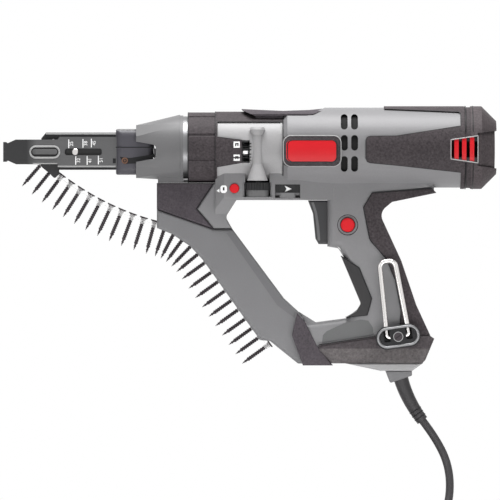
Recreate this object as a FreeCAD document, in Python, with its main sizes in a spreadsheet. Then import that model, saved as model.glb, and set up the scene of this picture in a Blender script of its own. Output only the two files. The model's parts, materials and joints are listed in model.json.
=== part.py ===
import FreeCAD, Part
import math
import os

import Sketcher
from FreeCAD import Placement, Rotation, Vector

# Auto-feed drywall screwdriver. The nose points to -X, +Z is up and the origin is the middle of the grip.
# Lengths are millimetres. The left side of the tool is -Y.

SIZES = {
    # Axes and the stations along the tool
    "bit_height": 100.0,
    "motor_rise": 4.0,
    "motor_front": 81.4,
    "gear_length": 62.6,
    "collar_length": 24.6,
    "ring_length": 5.0,
    "cone_length": 43.2,
    "block_show": 18.6,
    "block_length": 35.4,
    "nose_reach": 103.6,
    "barrel_length": 171.6,
    "cap_length": 23.9,
    "gap": 0.3,
    "fit": 0.05,
    # Motor barrel and rear cap
    "barrel_radius": 36.8,
    "barrel_wall": 2.6,
    "shoulder": 3.5,
    "rubber": 1.3,
    "cap_bevel": 13.6,
    "cap_rim": 4.5,
    "cap_recess_depth": 2.5,
    "vent_first": 55.6,
    "vent_pitch": 9.4,
    "vent_width": 6.2,
    "vent_height": 14.2,
    "vent_step": 19.3,
    "vent_rise": 5.0,
    "grille_front": 24.8,
    "grille_rear_half": 12.4,
    "grille_front_half": 8.8,
    "grille_bar": 4.0,
    "grille_gap": 3.1,
    "groove_width": 5.6,
    "band_half_height": 16.4,
    "band_depth": 1.7,
    "badge_front": 1.9,
    "badge_length": 54.3,
    "badge_height": 28.6,
    "badge_rim": 4.2,
    "badge_corner": 7.0,
    "badge_drop": 3.5,
    # Gear housing, collar and front housing
    "gear_radius": 31.8,
    "gear_wall": 3.0,
    "collar_radius": 32.4,
    "collar_bore": 27.0,
    "ring_radius": 28.8,
    "strip_half": 22.5,
    "tongue_length": 24.4,
    "tongue_half": 13.5,
    "flute_depth": 1.0,
    "window_width": 7.4,
    "window_height": 20.7,
    "cone_rear_radius": 30.3,
    "cone_half_width": 18.6,
    "cone_half_height": 24.3,
    "cone_bevel": 6.0,
    "cone_bevel_rise": 10.6,
    "cone_neck_half": 12.0,
    "tunnel_bevel": 3.8,
    "cone_neck": 20.0,
    "cone_notch": 18.0,
    "cone_notch_half": 9.6,
    # Top pad
    "pad_front": 120.0,
    "pad_rear": 43.5,
    "pad_rise": 35.4,
    "pad_dip": 1.8,
    "pad_thick": 6.4,
    "pad_taper": 12.0,
    "pad_half": 22.0,
    "pad_lip": 2.5,
    "pad_foot_rise": 23.0,
    "pad_crown": 48.0,
    # Bridge, elbow and handle
    "bridge_drop": 16.4,
    "bridge_half": 21.0,
    "bridge_wall": 3.0,
    "bridge_nose": 8.0,
    "bridge_ramp": 35.0,
    "cheek_drop": 13.0,
    "elbow_half": 14.0,
    "elbow_depth": 26.6,
    "elbow_bulge": 15.6,
    "grip_half": 16.2,
    "grip_round": 7.0,
    "grip_wall": 3.0,
    "trigger_wall": 41.0,
    "lip_reach": 10.0,
    "grip_top_front": 28.0,
    "grip_top_z": 3.5,
    "belly_front": 8.5,
    "belly_z": 39.5,
    "heel_front": 24.0,
    "heel_z": 51.5,
    "foot_front": 62.0,
    "foot_z": 58.0,
    "throat_back": 6.4,
    "throat_drop": 61.0,
    "tail_back": 58.9,
    "tail_drop": 41.7,
    "back_mid": 26.7,
    "back_low": 40.5,
    "back_low_z": 40.8,
    "spur_back": 57.0,
    "spur_z": 71.6,
    "base_back": 48.8,
    "base_z": 94.3,
    "skin": 2.0,
    "skin_side": 1.3,
    "shoe_half": 20.5,
    "shoe_front": 49.7,
    "shoe_rise": 17.0,
    "shoe_top_rise": 25.0,
    "plate_thick": 6.8,
    "plate_half": 19.0,
    "plate_front": 24.8,
    # Magazine
    "mag_half": 12.5,
    "mag_front": 197.8,
    "mouth_drop": 17.5,
    "arm_width": 38.3,
    "channel_half": 4.8,
    "channel_depth": 13.0,
    "arm_start_x": 155.5,
    "arm_start_z": 0.6,
    "arm_end_x": 103.0,
    "arm_end_z": 73.0,
    "panel_half": 13.5,
    "panel_drop": 28.5,
    "panel_depth": 52.4,
    "band_half": 18.2,
    "band_front": 73.6,
    "band_rear": 36.0,
    "band_thick": 1.9,
    # Screws and their strip
    "screw_length": 32.0,
    "screw_radius": 1.75,
    "head_radius": 4.0,
    "head_length": 3.6,
    "strip_pitch": 10.6,
    "strip_offset": 2.3,
    "strip_thick": 1.7,
    "strip_width": 7.0,
    "feed_reach": 41.1,
    "feed_drop": 9.2,
    "free_bend_x": 252.9,
    "free_bend_drop": 49.5,
    "mouth_back": 3.2,
    "mouth_rise": 6.0,
    "head_inset": 7.6,
    # Feed slide and nosepiece
    "block_half": 14.0,
    "block_half_height": 21.0,
    "block_bevel": 7.0,
    "web_half": 7.0,
    "plate_half_inner": 7.3,
    "nose_half": 9.8,
    "nose_half_height": 11.3,
    "nose_tip_half": 9.0,
    "nose_lip": 2.6,
    "nose_taper": 11.5,
    "nose_solid": 22.0,
    "nose_bore": 5.0,
    "slide_front": 35.0,
    "rail_top": 17.9,
    "rail_thick": 3.6,
    "rail_bottom": 16.4,
    "guide_drop": 24.4,
    "sprocket_reach": 46.0,
    "sprocket_rise": 10.3,
    "sprocket_radius": 6.0,
    "sprocket_teeth": 8.0,
    "axle_radius": 1.5,
    "pin_reach": 66.2,
    "pin_radius": 2.9,
    "slot_forward": 9.6,
    "slot_back": 24.4,
    "slot_half": 3.1,
    "tail_in": 6.5,
    "tail_room": 16.0,
    "spring_radius": 11.8,
    "spring_wire": 1.7,
    "spring_turns": 8.0,
    "spring_pocket": 14.0,
    # Controls
    "trigger_half": 8.0,
    "trigger_height": 40.2,
    "trigger_front": 17.9,
    "trigger_toe": 11.0,
    "trigger_tail": 3.4,
    "trigger_travel": 7.0,
    "trigger_gap": 0.4,
    "lock_back": 22.5,
    "lock_z": 32.8,
    "lock_radius": 6.4,
    "lock_proud": 2.6,
    "release_front": 126.5,
    "release_rise": 10.6,
    "release_radius": 4.3,
    "reverse_front": 89.2,
    "reverse_window": 23.0,
    "reverse_travel": 4.0,
    "reverse_rise": 1.6,
    "reverse_height": 12.6,
    "wheel_front": 105.4,
    "wheel_side": 12.5,
    "wheel_radius": 13.5,
    "wheel_height": 12.8,
    "wheel_rise": 3.0,
    "wheel_skirt": 6.0,
    "wheel_ribs": 32.0,
    "stem_radius": 3.0,
    "pointer_travel": 8.0,
    "pointer_lead": 10.7,
    "pointer_half": 1.9,
    "nut_half": 4.5,
    # Motor
    "core_front": 42.0,
    "core_length": 56.0,
    "field_depth": 11.3,
    "air_gap": 0.6,
    "core_inset": 3.6,
    "core_rib": 6.0,
    "core_yoke": 4.6,
    "pole_shoe": 2.6,
    "pole_half": 15.0,
    "shaft_radius": 4.0,
    "bearing_radius": 8.0,
    "bearing_width": 5.0,
    "plate_depth": 6.0,
    "fan_inset": 7.0,
    "fan_clear": 1.2,
    "fan_width": 10.0,
    "commutator_radius": 10.5,
    "commutator_length": 16.0,
    "commutator_back": 30.0,
    "web_back": 58.0,
    "web_thick": 8.0,
    "brush_width": 8.0,
    "holder_wall": 1.2,
    # Gear train
    "gear_module": 0.7,
    "pinion_teeth": 8.0,
    "wheel_teeth": 32.0,
    "counter_teeth": 10.0,
    "output_teeth": 30.0,
    "backlash": 0.12,
    "counter_radius": 2.5,
    "bush_radius": 3.5,
    "spindle_radius": 5.0,
    "holder_radius": 6.0,
    "front_bearing_radius": 12.0,
    "bit_radius": 3.6,
    "bit_tip": 53.0,
    # Belt hook
    "hook_x": 23.7,
    "hook_z": 69.7,
    "hook_tilt": 8.0,
    "hook_plate_length": 40.0,
    "hook_plate_height": 20.0,
    "hook_plate_thick": 7.6,
    "hook_span": 20.4,
    "hook_height": 70.0,
    "hook_top_half": 7.0,
    "hook_bore": 2.3,
    "hook_wire_radius": 2.3,
    "hook_screw_radius": 4.6,
    # Cord
    "cord_radius": 3.75,
    "gland_half": 10.0,
    "gland_depth": 9.0,
    "boot_radius": 6.9,
    "boot_end_radius": 5.4,
    "coil_radius": 60.0,
    "coil_pitch": 8.3,
    "coil_turns": 7.0,
    "coil_x": 50.0,
    "floor_drop": 262.0,
    "plug_length": 42.0,
    "plug_half": 12.5,
    "blade_length": 17.0,
    "blade_spacing": 12.7,
    # Housing screws
    "boss_radius": 3.6,
    "boss_screw_radius": 1.9,
}

doc = FreeCAD.newDocument("drywall_screwdriver")
sheet = doc.addObject("Spreadsheet::Sheet", "sizes")
for row, (alias, number) in enumerate(SIZES.items(), start=1):
    sheet.set(f"A{row}", alias)
    sheet.set(f"B{row}", str(number))
    sheet.setAlias(f"B{row}", alias)
doc.recompute()


class Dim:
    """A length with the sheet expression that gives it, so that sums of sizes stay bound to the sheet."""

    def __init__(self, value, text):
        self.value = value
        self.text = text

    def __add__(self, other):
        other = as_dim(other)
        return Dim(self.value + other.value, f"({self.text} + {other.text})")

    def __radd__(self, other):
        return as_dim(other) + self

    def __sub__(self, other):
        other = as_dim(other)
        return Dim(self.value - other.value, f"({self.text} - {other.text})")

    def __rsub__(self, other):
        return as_dim(other) - self

    def __mul__(self, other):
        other = as_dim(other)
        return Dim(self.value * other.value, f"({self.text} * {other.text})")

    def __rmul__(self, other):
        return as_dim(other) * self

    def __truediv__(self, other):
        other = as_dim(other)
        return Dim(self.value / other.value, f"({self.text} / {other.text})")

    def __neg__(self):
        return Dim(-self.value, f"(0 - {self.text})")

    def __float__(self):
        return self.value


def as_dim(number):
    """A plain number as a Dim."""
    return number if isinstance(number, Dim) else Dim(float(number), f"{float(number):.6f}")


def root(size):
    """Square root of a Dim."""
    return Dim(math.sqrt(size.value), f"sqrt({size.text})")


class Sheet:
    """The driving dimensions, one attribute for each alias of the sheet."""

    def __getattr__(self, alias):
        return Dim(float(sheet.get(alias)), f"sizes.{alias}")


P = Sheet()

# Stations along the tool, from the motor joint forward and back
bit_z = P.bit_height
motor_z = P.bit_height + P.motor_rise
x_joint = -P.motor_front
x_gear = x_joint - P.gear_length
x_collar = x_gear - P.collar_length
x_ring = x_collar - P.ring_length
x_cone = x_ring - P.cone_length
x_block = x_cone - P.block_show
x_block_rear = x_block + P.block_length
x_nose = x_block - P.nose_reach
x_barrel_end = x_joint + P.barrel_length
x_cap_end = x_barrel_end + P.cap_length
bridge_z = motor_z - P.gear_radius - P.bridge_drop
trigger_top = bridge_z - P.trigger_gap
trigger_low = trigger_top - P.trigger_height

# Rooms inside the barrel, from its bore inward
barrel_bore = P.barrel_radius - P.barrel_wall
fan_radius = barrel_bore - P.fan_inset
fan_room = fan_radius + P.fan_clear
armature_radius = barrel_bore - P.core_inset - P.field_depth - P.air_gap

AXES = {"x": Vector(1, 0, 0), "y": Vector(0, 1, 0), "z": Vector(0, 0, 1), "-y": Vector(0, -1, 0)}
pieces = []


def piece(node):
    """Keep a finished sub-part under its own name."""
    pieces.append(node)
    return node


def place(node, at, along="x"):
    """Bind an object's place to the sheet, with its own X axis turned along an axis."""
    direction = AXES[along] if isinstance(along, str) else along
    node.Placement = Placement(Vector(*[float(v) for v in at]), Rotation(Vector(1, 0, 0), direction))
    for axis, size in zip("xyz", at):
        node.setExpression(f"Placement.Base.{axis}", as_dim(size).text)
    return node


def outline(body, name, points, plane):
    """Closed sketch through points that are bound to the sheet."""
    sketch = body.newObject("Sketcher::SketchObject", name)
    support = next(item for item in body.Origin.OriginFeatures if item.Role == plane)
    sketch.AttachmentSupport = [(support, "")]
    sketch.MapMode = "FlatFace"
    corners = [(as_dim(u), as_dim(v)) for u, v in points]
    spots = [Vector(float(u), float(v), 0) for u, v in corners]
    count = len(corners)
    sketch.addGeometry([Part.LineSegment(spots[i], spots[(i + 1) % count]) for i in range(count)])
    joins = [Sketcher.Constraint("Coincident", i, 2, (i + 1) % count, 1) for i in range(count)]
    sketch.addConstraint(joins)
    for i, corner in enumerate(corners):
        for kind, size in zip(("DistanceX", "DistanceY"), corner):
            rule = sketch.addConstraint(Sketcher.Constraint(kind, -1, 1, i, 1, float(size)))
            sketch.setExpression(f"Constraints[{rule}]", size.text)
    return sketch


def fillet(body, base, edges, radius):
    """Round some edges of a body's feature."""
    rounding = body.newObject("PartDesign::Fillet", body.Name + "_round")
    rounding.Base = (base, edges)
    rounding.setExpression("Radius", as_dim(radius).text)
    doc.recompute()
    return rounding


def prism(label, points, low, high, soft=None):
    """Side outline (x, z[, corner radius]) carried from y = low to y = high, with its rims softened."""
    body = doc.addObject("PartDesign::Body", label)
    sketch = outline(body, label + "_outline", [point[:2] for point in points], "XZ_Plane")
    pad = body.newObject("PartDesign::Pad", label + "_pad")
    pad.Profile = sketch
    pad.SideType = "Symmetric"
    pad.setExpression("Length", (as_dim(high) - as_dim(low)).text)
    doc.recompute()
    last = pad
    corners = {}
    for point in (p for p in points if len(p) == 3):
        corners.setdefault(float(point[2]), []).append(point)
    for group in corners.values():
        edges = enumerate(last.Shape.Edges, start=1)
        names = [f"Edge{i}" for i, edge in edges if any(stands_at(edge, point) for point in group)]
        last = fillet(body, last, names, group[0][2])
    if soft is not None:
        half = (float(high) - float(low)) / 2
        names = [f"Edge{i}" for i, edge in enumerate(last.Shape.Edges, start=1) if on_rim(edge, half)]
        fillet(body, last, names, soft)
    place(body, (0, (as_dim(low) + as_dim(high)) / 2, 0))
    return body


def stands_at(edge, point):
    """True for an edge along Y at a corner of the outline."""
    ends = [vertex.Point for vertex in edge.Vertexes]
    spot = Vector(float(point[0]), 0, float(point[1]))
    return len(ends) == 2 and all(Vector(v.x, 0, v.z).distanceToPoint(spot) < 0.01 for v in ends)


def on_rim(edge, half):
    """True for an edge in one of the two side faces of a prism."""
    box = edge.BoundBox
    return box.YLength < 0.001 and abs(abs(box.YMin) - half) < 0.001


def turned(label, profile, at, along="x"):
    """Solid of revolution from (length, radius) points, about an axis through a place."""
    body = doc.addObject("PartDesign::Body", label)
    sketch = outline(body, label + "_profile", profile, "XZ_Plane")
    turn = body.newObject("PartDesign::Revolution", label + "_turn")
    turn.Profile = sketch
    turn.ReferenceAxis = (sketch, ["H_Axis"])
    turn.Angle = 360
    return place(body, at, along)


def rod(label, start, end, radius, at, along="x", bore=0):
    """Round bar or tube."""
    return turned(label, [(start, bore), (end, bore), (end, radius), (start, radius)], at, along)


def box(label, low, high):
    """Block between two corners."""
    node = doc.addObject("Part::Box", label)
    for side, a, b in zip(("Length", "Width", "Height"), low, high):
        node.setExpression(side, (as_dim(b) - as_dim(a)).text)
    return place(node, low)


def fuse(label, *parts):
    """Join solids."""
    node = doc.addObject("Part::MultiFuse", label)
    node.Shapes = list(parts)
    node.Refine = True
    return node


def cut(label, base, *tools):
    """Take tools away from a solid."""
    node = doc.addObject("Part::Cut", label)
    node.Base = base
    node.Tool = tools[0] if len(tools) == 1 else fuse(label + "_tools", *tools)
    return node


def common(label, first, second):
    """What two solids share."""
    node = doc.addObject("Part::Common", label)
    node.Base = first
    node.Tool = second
    return node


def plan_slab(label, points, low, high):
    """Outline seen from above, (x, y) points, carried from a low to a high level."""
    corners = [Vector(float(x), float(y), float(low)) for x, y in points]
    face = Part.Face(Part.makePolygon(corners + corners[:1]))
    return feature(label, face.extrude(Vector(0, 0, float(high) - float(low))))


def octagon(x, middle_z, half_y, half_z, bevel_y, bevel_z):
    """Closed wire of a bevelled rectangle across the tool."""
    flat_y, flat_z = half_y - bevel_y, half_z - bevel_z
    corners = [
        (half_y, -flat_z),
        (half_y, flat_z),
        (flat_y, half_z),
        (-flat_y, half_z),
        (-half_y, flat_z),
        (-half_y, -flat_z),
        (-flat_y, -half_z),
        (flat_y, -half_z),
    ]
    spots = [Vector(float(x), float(y), float(middle_z + z)) for y, z in corners]
    return Part.makePolygon(spots + spots[:1])


def eight_arcs(x, middle_z, radius, side, bevel):
    """Circle across the tool in eight arcs: sides, top and bottom, with short arcs between, in degrees."""
    stops = [-side, side, side + bevel, 180 - side - bevel, 180 - side, 180 + side]
    stops += [180 + side + bevel, 360 - side - bevel, 360 - side]
    arcs = []
    for first, last in zip(stops, stops[1:]):
        leans = [math.radians(angle) for angle in (first, (first + last) / 2, last)]
        spots = [
            Vector(float(x), float(radius) * math.cos(lean), float(middle_z) + float(radius) * math.sin(lean))
            for lean in leans
        ]
        arcs.append(Part.Arc(*spots).toShape())
    return Part.Wire(arcs)


def feature(label, shape):
    """A free shape."""
    node = doc.addObject("Part::Feature", label)
    node.Shape = shape
    node.Placement = Placement()
    return node


def gear_solid(label, teeth, mate, shift, start, width, at, toward):
    """Spur gear along +X with involute flanks, whose tooth or gap lies toward a direction across the axis."""
    count = int(float(teeth))
    module, pressure = float(P.gear_module), math.radians(20)
    pitch = module * count / 2
    base = pitch * math.cos(pressure)
    tip = pitch + module * (0.8 + shift)
    low = pitch + module * (shift - 1.25)
    half = (math.pi / 2 + 2 * shift * math.tan(pressure)) / count - float(P.backlash) / (2 * pitch)
    half += math.tan(pressure) - pressure

    def flank(radius):
        bend = math.acos(min(1.0, base / max(radius, base)))
        return half - (math.tan(bend) - bend)

    rise = [low] + [max(low, base) + (tip - max(low, base)) * i / 4 for i in range(5)]
    phase = toward + (math.pi / count if mate else 0)
    points = []
    for tooth in range(count):
        middle = phase + 2 * math.pi * tooth / count
        points += [polar(radius, middle - flank(radius)) for radius in rise]
        points += [polar(radius, middle + flank(radius)) for radius in reversed(rise)]
    wire = Part.makePolygon(points + points[:1])
    solid = Part.Face(wire).extrude(Vector(float(width), 0, 0))
    return place(feature(label, solid), (start, at[1], at[2]))


def polar(radius, angle):
    """Point of the YZ plane."""
    return Vector(0, radius * math.cos(angle), radius * math.sin(angle))


def biarc(start, heading, end, arrival):
    """Two tangent arcs between two points with given directions."""
    chord = end - start
    both = heading + arrival
    spread = 2 * (1 - heading.dot(arrival))
    lean = chord.dot(both)
    reach = (math.sqrt(lean * lean + spread * chord.dot(chord)) - lean) / spread if spread > 1e-9 else None
    if reach is None:
        return [Part.LineSegment(start, end).toShape()]
    middle = (start + end + (heading - arrival) * reach) * 0.5
    return [arc_from(start, heading, middle), arc_from(end, arrival * -1, middle)]


def arc_from(start, heading, end):
    """Arc that leaves a point in a direction and reaches another point."""
    chord = end - start
    side = chord - heading * chord.dot(heading)
    if side.Length < 1e-6:
        return Part.LineSegment(start, end).toShape()
    side.normalize()
    radius = chord.dot(chord) / (2 * chord.dot(side))
    centre = start + side * radius
    outward = (start + end) * 0.5 - centre
    outward.normalize()
    turn = math.atan2(chord.dot(heading), chord.dot(side))
    middle = centre + outward * (radius if turn >= 0 else -radius)
    return Part.Arc(start, middle, end).toShape()


def wound_tube(curve, steps, radius, leads=(0.0, 0.0), ends=None):
    """Tube on biarcs through a curve's points, with straight leads; prints its least gap to itself."""
    spots = [curve(i / steps) for i in range(steps + 1)]
    small = 1e-4
    ways = []
    for i in range(steps + 1):
        ahead = curve(min(1.0, i / steps + small)) - curve(max(0.0, i / steps - small))
        ways.append(ahead.normalize())
    if ends is not None:
        ways[0] = ways[-1] = ends
    edges = []
    if leads[0]:
        edges.append(Part.LineSegment(spots[0] - ways[0] * leads[0], spots[0]).toShape())
    for i in range(steps):
        edges += biarc(spots[i], ways[i], spots[i + 1], ways[i + 1])
    if leads[1]:
        edges.append(Part.LineSegment(spots[-1], spots[-1] + ways[-1] * leads[1]).toShape())
    path = Part.Wire(Part.__sortEdges__(edges))
    fine = [curve(i / (steps * 6)) for i in range(steps * 6 + 1)]
    half_turn = 12
    pairs = ((a, b) for i, a in enumerate(fine) for b in fine[i + half_turn :])
    least = min(a.distanceToPoint(b) for a, b in pairs)
    ring = Part.Wire(Part.Circle(spots[0] - ways[0] * leads[0], ways[0], radius).toShape())
    tube = path.makePipeShell([ring], True, False)
    share = tube.Volume / (math.pi * radius**2 * path.Length)
    print(f"wound tube: least gap to itself {least - 2 * radius:.2f} mm, {share:.4f} of section times length")
    return tube, path.Length


def rounded_tube(route, radius):
    """Tube along straight runs joined by the largest arcs that the runs allow; prints radii and volume."""
    edges = []
    here = route[0]
    for i in range(1, len(route) - 1):
        back, ahead = route[i - 1] - route[i], route[i + 1] - route[i]
        take = 0.45 * min(back.Length, ahead.Length)
        turn = math.pi - back.getAngle(ahead)
        bend = take / math.tan(turn / 2)
        print(f"cord bend {i}: radius {bend:.0f} mm")
        start = route[i] + back.normalize() * take
        end = route[i] + ahead.normalize() * take
        inward = back + ahead
        inward.normalize()
        middle = route[i] + inward * (bend / math.cos(turn / 2) - bend)
        edges.append(Part.LineSegment(here, start).toShape())
        edges.append(Part.Arc(start, middle, end).toShape())
        here = end
    edges.append(Part.LineSegment(here, route[-1]).toShape())
    path = Part.Wire(edges)
    ring = Part.Wire(Part.Circle(route[0], route[1] - route[0], radius).toShape())
    tube = path.makePipeShell([ring], True, False)
    print(f"cord tube: {tube.Volume / (math.pi * radius ** 2 * path.Length):.4f} of section times length")
    return tube, path.Length


# Bearing places in the gear train: the countershaft stands level between the two other axes
centre_distance = P.gear_module * (P.pinion_teeth + P.wheel_teeth) / 2
counter_y = root(centre_distance * centre_distance - P.motor_rise * P.motor_rise / 4)
counter_z = bit_z + P.motor_rise / 2
BIT = (0, 0, bit_z)
MOTOR = (0, 0, motor_z)
COUNTER = (0, counter_y, counter_z)


# Outer forms that several pieces share
barrel_end_radius = P.barrel_radius + P.rubber
barrel_form = turned(
    "barrel_form",
    [
        (x_joint, 0),
        (x_barrel_end, 0),
        (x_barrel_end, P.barrel_radius),
        (x_joint + P.shoulder, P.barrel_radius),
        (x_joint, P.barrel_radius - P.shoulder),
    ],
    MOTOR,
)
gear_form = rod("gear_form", x_gear, x_joint, P.gear_radius, MOTOR)
gear_skin = rod("gear_skin", x_gear, x_joint, P.gear_radius + P.rubber, MOTOR)
barrel_skin = rod(
    "barrel_skin", x_joint + P.shoulder, x_barrel_end, barrel_end_radius, MOTOR, bore=P.barrel_radius
)

throat_z = motor_z - P.throat_drop
GRIP_BACK = [
    (P.tail_back - P.skin, motor_z - P.tail_drop + P.skin),
    (P.throat_back + 12, throat_z + 13, 6),
    (P.throat_back - P.skin, throat_z + 2, 10),
    (P.back_mid - P.skin, 0),
    (P.back_low - P.skin, -P.back_low_z),
    (P.base_back - P.skin, -P.spur_z),
    (P.base_back - P.skin, -P.base_z),
]
GRIP_FRONT = [
    (-P.foot_front, -P.base_z),
    (-P.foot_front, -P.foot_z),
    (-P.heel_front, -P.heel_z - 1.5),
    (-P.belly_front + P.skin, -P.belly_z, 4),
    (-P.grip_top_front + P.skin, P.grip_top_z),
    (-P.trigger_wall + P.lip_reach, trigger_low - 3.7, 3),
    (-P.trigger_wall, trigger_low - 2.2),
    (-P.trigger_wall, motor_z - 24),
]
grip_form = prism(
    "grip_form",
    [(P.tail_back - P.skin, motor_z - 24)] + GRIP_BACK + GRIP_FRONT,
    -P.grip_half,
    P.grip_half,
    soft=P.grip_round,
)
bridge_end = -P.trigger_wall + 6
bridge_slab = prism(
    "bridge_slab",
    [
        (x_gear, bridge_z + 4),
        (x_gear + 4, bridge_z),
        (bridge_end, bridge_z),
        (bridge_end, motor_z - 20),
        (x_gear, motor_z - 20),
    ],
    -P.bridge_half,
    P.bridge_half,
    soft=2.5,
)


def bridge_plan(label, inset, low):
    """Bridge seen from above, narrowed to the elbow in front and to the grip behind, drawn in by an inset."""
    front = P.elbow_half + 2 - inset
    full = P.bridge_half - inset
    rear = P.grip_half - 0.4 - inset
    side = [
        (x_gear, front),
        (x_gear + P.bridge_nose, full),
        (bridge_end - P.bridge_ramp, full),
        (bridge_end, rear),
    ]
    return plan_slab(label, side + [(x, -y) for x, y in reversed(side)], low, motor_z)


bridge_form = common("bridge_form", bridge_slab, bridge_plan("bridge_outside", 0, bridge_z - 1))
panel_top = motor_z - P.collar_radius - 0.2
elbow_top_x = -P.mag_front + P.panel_depth
elbow_low_z = bridge_z - P.elbow_depth
ELBOW_EDGE = [
    (elbow_top_x, panel_top),
    (elbow_top_x - P.elbow_bulge, bridge_z - 8.2),
    (elbow_top_x, elbow_low_z),
]
ELBOW = ELBOW_EDGE + [
    (elbow_top_x + 17, elbow_low_z),
    (elbow_top_x + 10.8, bridge_z - 15.6, 5),
    (elbow_top_x + 22, bridge_z + 2),
    (elbow_top_x + 22, panel_top),
]
elbow_form = prism("elbow_form", ELBOW, -P.elbow_half, P.elbow_half, soft=2.0)

# Sloping cheeks that lead from the elbow out to the wider bridge
cheek_low = bridge_z - P.cheek_drop
cheek_top = bridge_z + P.bridge_wall
CHEEK = [
    (-P.bridge_half, cheek_top),
    (-P.elbow_half, cheek_low),
    (P.elbow_half, cheek_low),
    (P.bridge_half, cheek_top),
]
cheek_spots = [Vector(float(x_gear), float(y), float(z)) for y, z in CHEEK + CHEEK[:1]]
cheek_face = Part.Face(Part.makePolygon(cheek_spots))
cheek_slope = feature("cheek_slope", cheek_face.extrude(Vector(float(P.gear_length), 0, 0)))
cheek_block = prism("cheek_block", ELBOW, -P.bridge_half, P.bridge_half)
cheek_sides = common("cheek_sides", cheek_block, cheek_slope)
cheeks = common("cheeks", cheek_sides, bridge_plan("cheek_plan", P.fit, cheek_low - 1))


def badge_outline(inset):
    """Rounded rectangle of the badge, drawn in by an inset."""
    low_x = x_joint - P.badge_front + inset
    high_x = x_joint - P.badge_front + P.badge_length - inset
    middle = motor_z - P.badge_drop
    half = P.badge_height / 2 - inset
    corner = P.badge_corner - inset / 2
    return [
        (low_x, middle - half, corner),
        (high_x, middle - half, corner),
        (high_x, middle + half, corner),
        (low_x, middle + half, corner),
    ]


badge_reach = P.barrel_radius + P.rubber
badge_shell = rod("badge_shell", x_joint - 6, 0, badge_reach, MOTOR, bore=P.barrel_radius - 0.1)
badge_outer = prism("badge_outer", badge_outline(0), -badge_reach - 4, badge_reach + 4)
badge_inner = prism("badge_inner", badge_outline(P.badge_rim), -badge_reach - 4, badge_reach + 4)
badge_rims = common("badge_rims", badge_shell, cut("badge_ring", badge_outer, badge_inner))
badge_front_room = box(
    "badge_front_room", (x_joint - 20, -60, motor_z - 30), (x_joint, 60, motor_z + 30)
)

GRILLE = [
    (x_barrel_end - P.grille_front * 0.74, motor_z - 2 - P.grille_front_half),
    (x_barrel_end - P.grille_front * 0.74, motor_z - 2 + P.grille_front_half),
    (x_barrel_end + P.grille_front * 0.26, motor_z - 2 + P.grille_rear_half),
    (x_barrel_end + P.grille_front * 0.26, motor_z - 2 - P.grille_rear_half),
]
grille_hole = prism("grille_hole", GRILLE, -60, 60)


def vent_slots():
    """Two columns of three round-ended vents through both flanks of the barrel."""
    slots = []
    for column in range(2):
        for line in range(3):
            x = x_joint + P.vent_first + P.vent_pitch * column
            z = motor_z + P.vent_rise + P.vent_step * (1 - line) - 1
            half, tall = P.vent_width / 2, P.vent_height / 2
            corners = [(x - half, z - tall), (x + half, z - tall), (x + half, z + tall), (x - half, z + tall)]
            rounded = [corner + (half - 0.05,) for corner in corners]
            slots.append(prism(f"vent_{column}_{line}", rounded, -60, 60))
    return slots


pad_seat = prism(
    "pad_seat",
    [
        (x_joint - 8, motor_z + 50),
        (x_joint - 8, motor_z + P.pad_rise - P.pad_thick),
        (-P.pad_rear - P.pad_taper - 4, motor_z + P.pad_rise - P.pad_thick),
        (-P.pad_rear + 1, motor_z + P.pad_rise + 1.8),
        (-P.pad_rear + 1, motor_z + 50),
    ],
    -60,
    60,
)
motor_room = turned(
    "motor_room",
    [
        (x_joint - 1, 0),
        (x_joint - 1, fan_room),
        (-P.core_front, fan_room),
        (-P.core_front, barrel_bore),
        (P.web_back, barrel_bore),
        (P.web_back, 0),
    ],
    MOTOR,
)
rear_room = rod(
    "rear_room", P.web_back + P.web_thick, x_barrel_end + 1, barrel_bore, MOTOR
)
web_bore = rod("web_bore", P.web_back - 1, P.web_back + P.web_thick + 1, P.bearing_radius, MOTOR)
grip_inner = P.grip_half - P.grip_wall
grip_room = prism(
    "grip_room",
    [
        (-P.trigger_wall + 4, motor_z - 33),
        (-P.trigger_wall + 4, trigger_low + 3),
        (-P.grip_top_front + 7, P.grip_top_z - 2),
        (-P.belly_front + 9, -P.belly_z),
        (-P.belly_front + 5, -P.base_z + 3),
        (P.base_back - P.skin - 4, -P.base_z + 3),
        (P.back_low - P.skin - 5, -P.back_low_z),
        (P.back_mid - P.skin - 5, 0),
        (P.throat_back - P.skin - 4, throat_z),
        (P.throat_back - P.skin - 4, motor_z - 33),
    ],
    -grip_inner,
    grip_inner,
)
bridge_hold = box(
    "bridge_hold",
    (x_gear + 8, -P.bridge_half, bridge_z + P.bridge_wall),
    (-P.trigger_wall, P.bridge_half, motor_z - 33),
)
bridge_room = common("bridge_room", bridge_hold, bridge_plan("bridge_inside", P.bridge_wall, bridge_z - 1))
elbow_room = box(
    "elbow_room",
    (elbow_top_x - 6, -P.elbow_half + P.bridge_wall, bridge_z - 16),
    (elbow_top_x + 8, P.elbow_half - P.bridge_wall, panel_top - 3),
)
trigger_slot_end = -P.trigger_wall + P.trigger_tail + P.trigger_travel + P.gap
trigger_slot = box(
    "trigger_slot",
    (-P.trigger_wall - 1, -P.trigger_half - P.gap, trigger_low - P.gap),
    (trigger_slot_end, P.trigger_half + P.gap, trigger_top + P.gap),
)
wheel_well = rod(
    "wheel_well",
    bridge_z + P.wheel_rise - P.gap,
    motor_z,
    P.wheel_radius + P.gap * 2,
    (-P.wheel_front, -P.wheel_side, 0),
    "z",
)
wheel_face = box(
    "wheel_face",
    (-P.wheel_front - P.wheel_radius, -P.bridge_half - 2, bridge_z + P.wheel_rise - P.gap),
    (-P.wheel_front + P.wheel_radius, -P.bridge_half + 1.2, bridge_z + P.wheel_rise + P.wheel_height + P.gap),
)
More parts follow.
